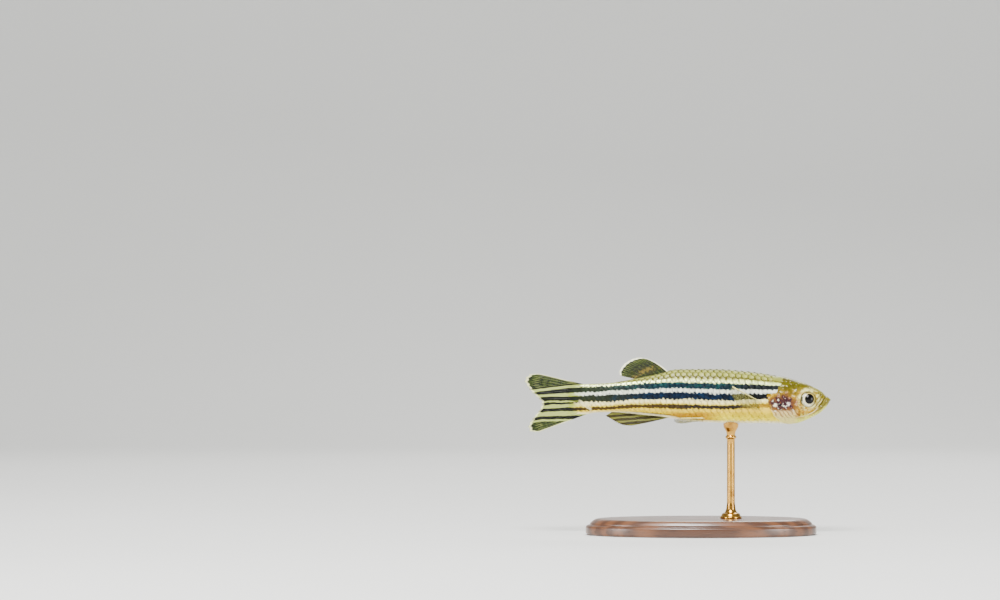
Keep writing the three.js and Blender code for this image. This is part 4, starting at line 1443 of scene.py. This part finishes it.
def wood_material():
    """Dark stained wood: long grain lines along the base, finer pores, and a satin varnish worn in places."""
    material, tree, shader = new_material("stand wood", Roughness=0.4, IOR=1.5, Coat_Roughness=0.18)
    drift = noise(tree, 60, 4.0, (0.2, 1, 1)) * 26.0
    grain = sine(object_axes(tree)[1] * (4.2 / MM) + drift)
    pores = between(noise(tree, 2400, 3.0, (0.06, 1, 1)), 0.5, 0.72)
    colour = blend(between(grain, -0.9, 0.9), (76, 46, 29), (106, 66, 40))
    fill(shader, {
        "Base Color": blend(pores * 0.6, colour, (40, 24, 16)),
        "Roughness": pores * 0.18 + 0.34,
        "Coat Weight": noise(tree, 120, 2.0) * 0.4 + 0.3,
        "Normal": bump(pores, -0.3, 0.03 * MM),
    })
    return material


def brass_material():
    """Polished brass with faint turning marks and duller patches."""
    material, tree, shader = new_material("stand brass", Metallic=1.0, Roughness=0.2)
    tarnish = between(noise(tree, 420, 3.0), 0.45, 0.7)
    turning = noise(tree, 3000, 2.0, (0.05, 0.05, 1))
    fill(shader, {
        "Base Color": blend(tarnish, (200, 150, 66), (156, 110, 48)),
        "Roughness": tarnish * 0.16 + turning * 0.2 + 0.06,
        "Normal": bump(turning, 0.15, 0.01 * MM),
    })
    return material


wood_finish, brass_finish = wood_material(), brass_material()
print("stand finishes:", wood_finish.name, brass_finish.name)

# %% Base and rod
base_low, base_high = (np.array(corner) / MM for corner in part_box("stand_base"))
rod_low, rod_high = (np.array(corner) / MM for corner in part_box("stand_rod"))
base_middle = (base_low + base_high) / 2
base_half = (base_high - base_low) / 2
BASE_TOP = float(base_high[2])


def turned(profile, sides, middle, stretch=(1, 1), top=None):
    """A profile of (radius, height) carried round an axis, closed on the axis at both ends. stretch makes it oval,
    and top may move points near the upper end to meet another surface."""
    radius, height = np.array(profile, dtype=float).T
    turn = np.arange(sides) / sides * 2 * math.pi
    x = middle[0] + radius[:, None] * np.cos(turn) * stretch[0]
    y = middle[1] + radius[:, None] * np.sin(turn) * stretch[1]
    z = np.broadcast_to(height[:, None], x.shape)
    if top is not None:
        z = top(x, y, z)
    points = np.stack([x, y, z], axis=-1)
    ends = [points[0].mean(axis=0), points[-1].mean(axis=0)]
    return np.concatenate([points.reshape(-1, 3), ends]), closed_faces(len(profile), sides)


def rounded(corners, radius, steps=5):
    """A profile with each inner corner replaced by a small arc."""
    corners = np.array(corners, dtype=float)
    result = [corners[0]]
    for before, corner, after in zip(corners[:-2], corners[1:-1], corners[2:]):
        to_before, to_after = before - corner, after - corner
        reach = min(radius, 0.45 * np.linalg.norm(to_before), 0.45 * np.linalg.norm(to_after))
        start = corner + to_before / np.linalg.norm(to_before) * reach
        finish = corner + to_after / np.linalg.norm(to_after) * reach
        t = np.linspace(0, 1, steps)[:, None]
        result.extend((1 - t) ** 2 * start + 2 * t * (1 - t) * corner + t * t * finish)
    result.append(corners[-1])
    return result


edge_corners = [
    (0.02, 0), (0.985, 0), (1.0, 0.25), (1.0, 1.3), (0.975, 1.5), (0.962, 1.52), (0.962, 1.75), (0.93, 2.2),
    (0.9, 2.4), (0.02, 2.4),
]
base_profile = rounded([(r * base_half[0], min(h, BASE_TOP)) for r, h in edge_corners], 0.3)
base_points, base_faces = turned(base_profile, 160, base_middle, (1, base_half[1] / base_half[0]))
wood_base = make_piece("stand_base_wood", base_points, base_faces, wood_finish)
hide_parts("stand_base")

rod_middle = (rod_low + rod_high) / 2
rod_s = SNOUT_X - rod_middle[0]
belly_height = EYE_LEVEL + float(underside(rod_s, 0.0))
CUP = 1.15


def meet_belly(x, y, z):
    """Moves the cup's rim and its inside up or down onto the belly."""
    lying = EYE_LEVEL + underside(SNOUT_X - x, y - rod_middle[1]) - COAT_DEPTH * 0.5
    return np.where(z > belly_height - 0.3, lying + (z - belly_height) * 0.4, z)


neck = belly_height - 1.5
foot = BASE_TOP
rod_corners = [
    (0.02, foot), (1.6, foot), (1.6, foot + 0.3), (1.42, foot + 0.42), (1.3, foot + 0.75), (0.95, foot + 0.85),
    (0.72, foot + 1.3), (0.6, foot + 2.2), (0.58, neck - 1.4), (0.6, neck - 0.75), (0.82, neck - 0.62),
    (0.82, neck - 0.38), (0.6, neck - 0.25), (0.7, neck + 0.3), (CUP - 0.06, neck + 0.95), (CUP, neck + 1.3),
    (CUP, belly_height), (CUP - 0.16, belly_height), (0.5, belly_height), (0.02, belly_height),
]
rod_points, rod_faces = turned(rounded(rod_corners, 0.12), 64, rod_middle, top=meet_belly)
brass_rod = make_piece("stand_rod_brass", rod_points, rod_faces, brass_finish)
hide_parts("stand_rod")

# %% [markdown]
# Floor, light and camera
#
# The model stands on a plain pale sweep that curves up at both ends, so that no horizon shows. Large soft lamps above
# and in front give even light with long highlights along the flank. The camera looks level at the fish's right side
# from far away, as the fish was photographed, and keeps the fish at the same place in the frame.

# %% Sweep


def sweep_material():
    """Matt pale paper with the faintest mottling."""
    material, tree, shader = new_material("sweep", Roughness=0.85, IOR=1.3)
    fill(shader, {"Base Color": blend(noise(tree, 9, 3.0), (226, 226, 222), (234, 234, 231))})
    return material


FLOOR_BACK, FLOOR_FRONT, FLOOR_CURVE, WALL = 350, -1150, 250, 1500
quarter = np.linspace(0, math.pi / 2, 24)
run = np.concatenate([[FLOOR_FRONT - FLOOR_CURVE], FLOOR_FRONT - FLOOR_CURVE * np.sin(quarter[::-1]),
                      FLOOR_BACK + FLOOR_CURVE * np.sin(quarter), [FLOOR_BACK + FLOOR_CURVE]])
curve = FLOOR_CURVE * (1 - np.cos(quarter))
rise = np.concatenate([[WALL], curve[::-1], curve, [WALL]])
wide = np.linspace(-1800, 1800, 9)
sweep_points = np.stack(np.broadcast_arrays(wide, run[:, None], rise[:, None]), axis=-1).reshape(-1, 3)
sweep_mesh = bpy.data.meshes.new("sweep")
sweep_mesh.from_pydata(sweep_points * MM, [], grid_faces(len(run), len(wide)).tolist())
sweep_mesh.polygons.foreach_set("use_smooth", np.ones(len(sweep_mesh.polygons), dtype=bool))
sweep_mesh.materials.append(sweep_material())
sweep = bpy.data.objects.new("sweep", sweep_mesh)
bpy.context.scene.collection.objects.link(sweep)
print("sweep faces:", len(sweep_mesh.polygons))

# %% Lamps


def lamp(name, place, aim, size, power):
    """A round soft lamp, in millimetres, that points at a place."""
    data = bpy.data.lights.new(name, "AREA")
    data.shape = "DISK"
    data.size = size * MM
    data.energy = power
    made = bpy.data.objects.new(name, data)
    made.location = np.array(place) * MM
    towards = (np.array(aim) - np.array(place)) * MM
    made.rotation_euler = Vector(towards).to_track_quat("-Z", "Y").to_euler()
    bpy.context.scene.collection.objects.link(made)
    return made


AIM = (0, 0, EYE_LEVEL)
lamp("key", (-60, -270, 370), AIM, 220, 4.9)
lamp("right fill", (360, -260, 60), AIM, 180, 1.1)
lamp("left fill", (-380, -240, 60), AIM, 180, 1.1)
lamp("back", (60, 300, 300), AIM, 200, 1.1)
world = bpy.data.worlds.new("studio")
world.use_nodes = True
world.node_tree.nodes["Background"].inputs["Color"].default_value = (0.86, 0.88, 0.9, 1)
world.node_tree.nodes["Background"].inputs["Strength"].default_value = 0.4
bpy.context.scene.world = world
print("lamps:", ", ".join(each.name for each in bpy.data.lights))

# %% Camera
FRAME_WIDTH = 1000
PHOTO_LENGTH = 305.4
MM_PER_PIXEL = TOTAL_LENGTH / PHOTO_LENGTH
SNOUT_PIXEL = (830, 399)
MIDDLE_PIXEL = (500, 300)
CAMERA_DISTANCE = 600
SENSOR = 36

camera_x = SNOUT_X - (SNOUT_PIXEL[0] - MIDDLE_PIXEL[0]) * MM_PER_PIXEL
camera_z = EYE_LEVEL + (SNOUT_PIXEL[1] - MIDDLE_PIXEL[1]) * MM_PER_PIXEL
camera_data = bpy.data.cameras.new("camera")
camera_data.sensor_width = SENSOR
camera_data.lens = SENSOR * CAMERA_DISTANCE / (FRAME_WIDTH * MM_PER_PIXEL)
camera_data.clip_start = 0.01
camera_data.clip_end = 20
camera = bpy.data.objects.new("camera", camera_data)
camera.location = (camera_x * MM, -CAMERA_DISTANCE * MM, camera_z * MM)
camera.rotation_euler = (math.pi / 2, 0, 0)
bpy.context.scene.collection.objects.link(camera)
bpy.context.scene.camera = camera
print("lens:", round(camera_data.lens, 1), "mm")
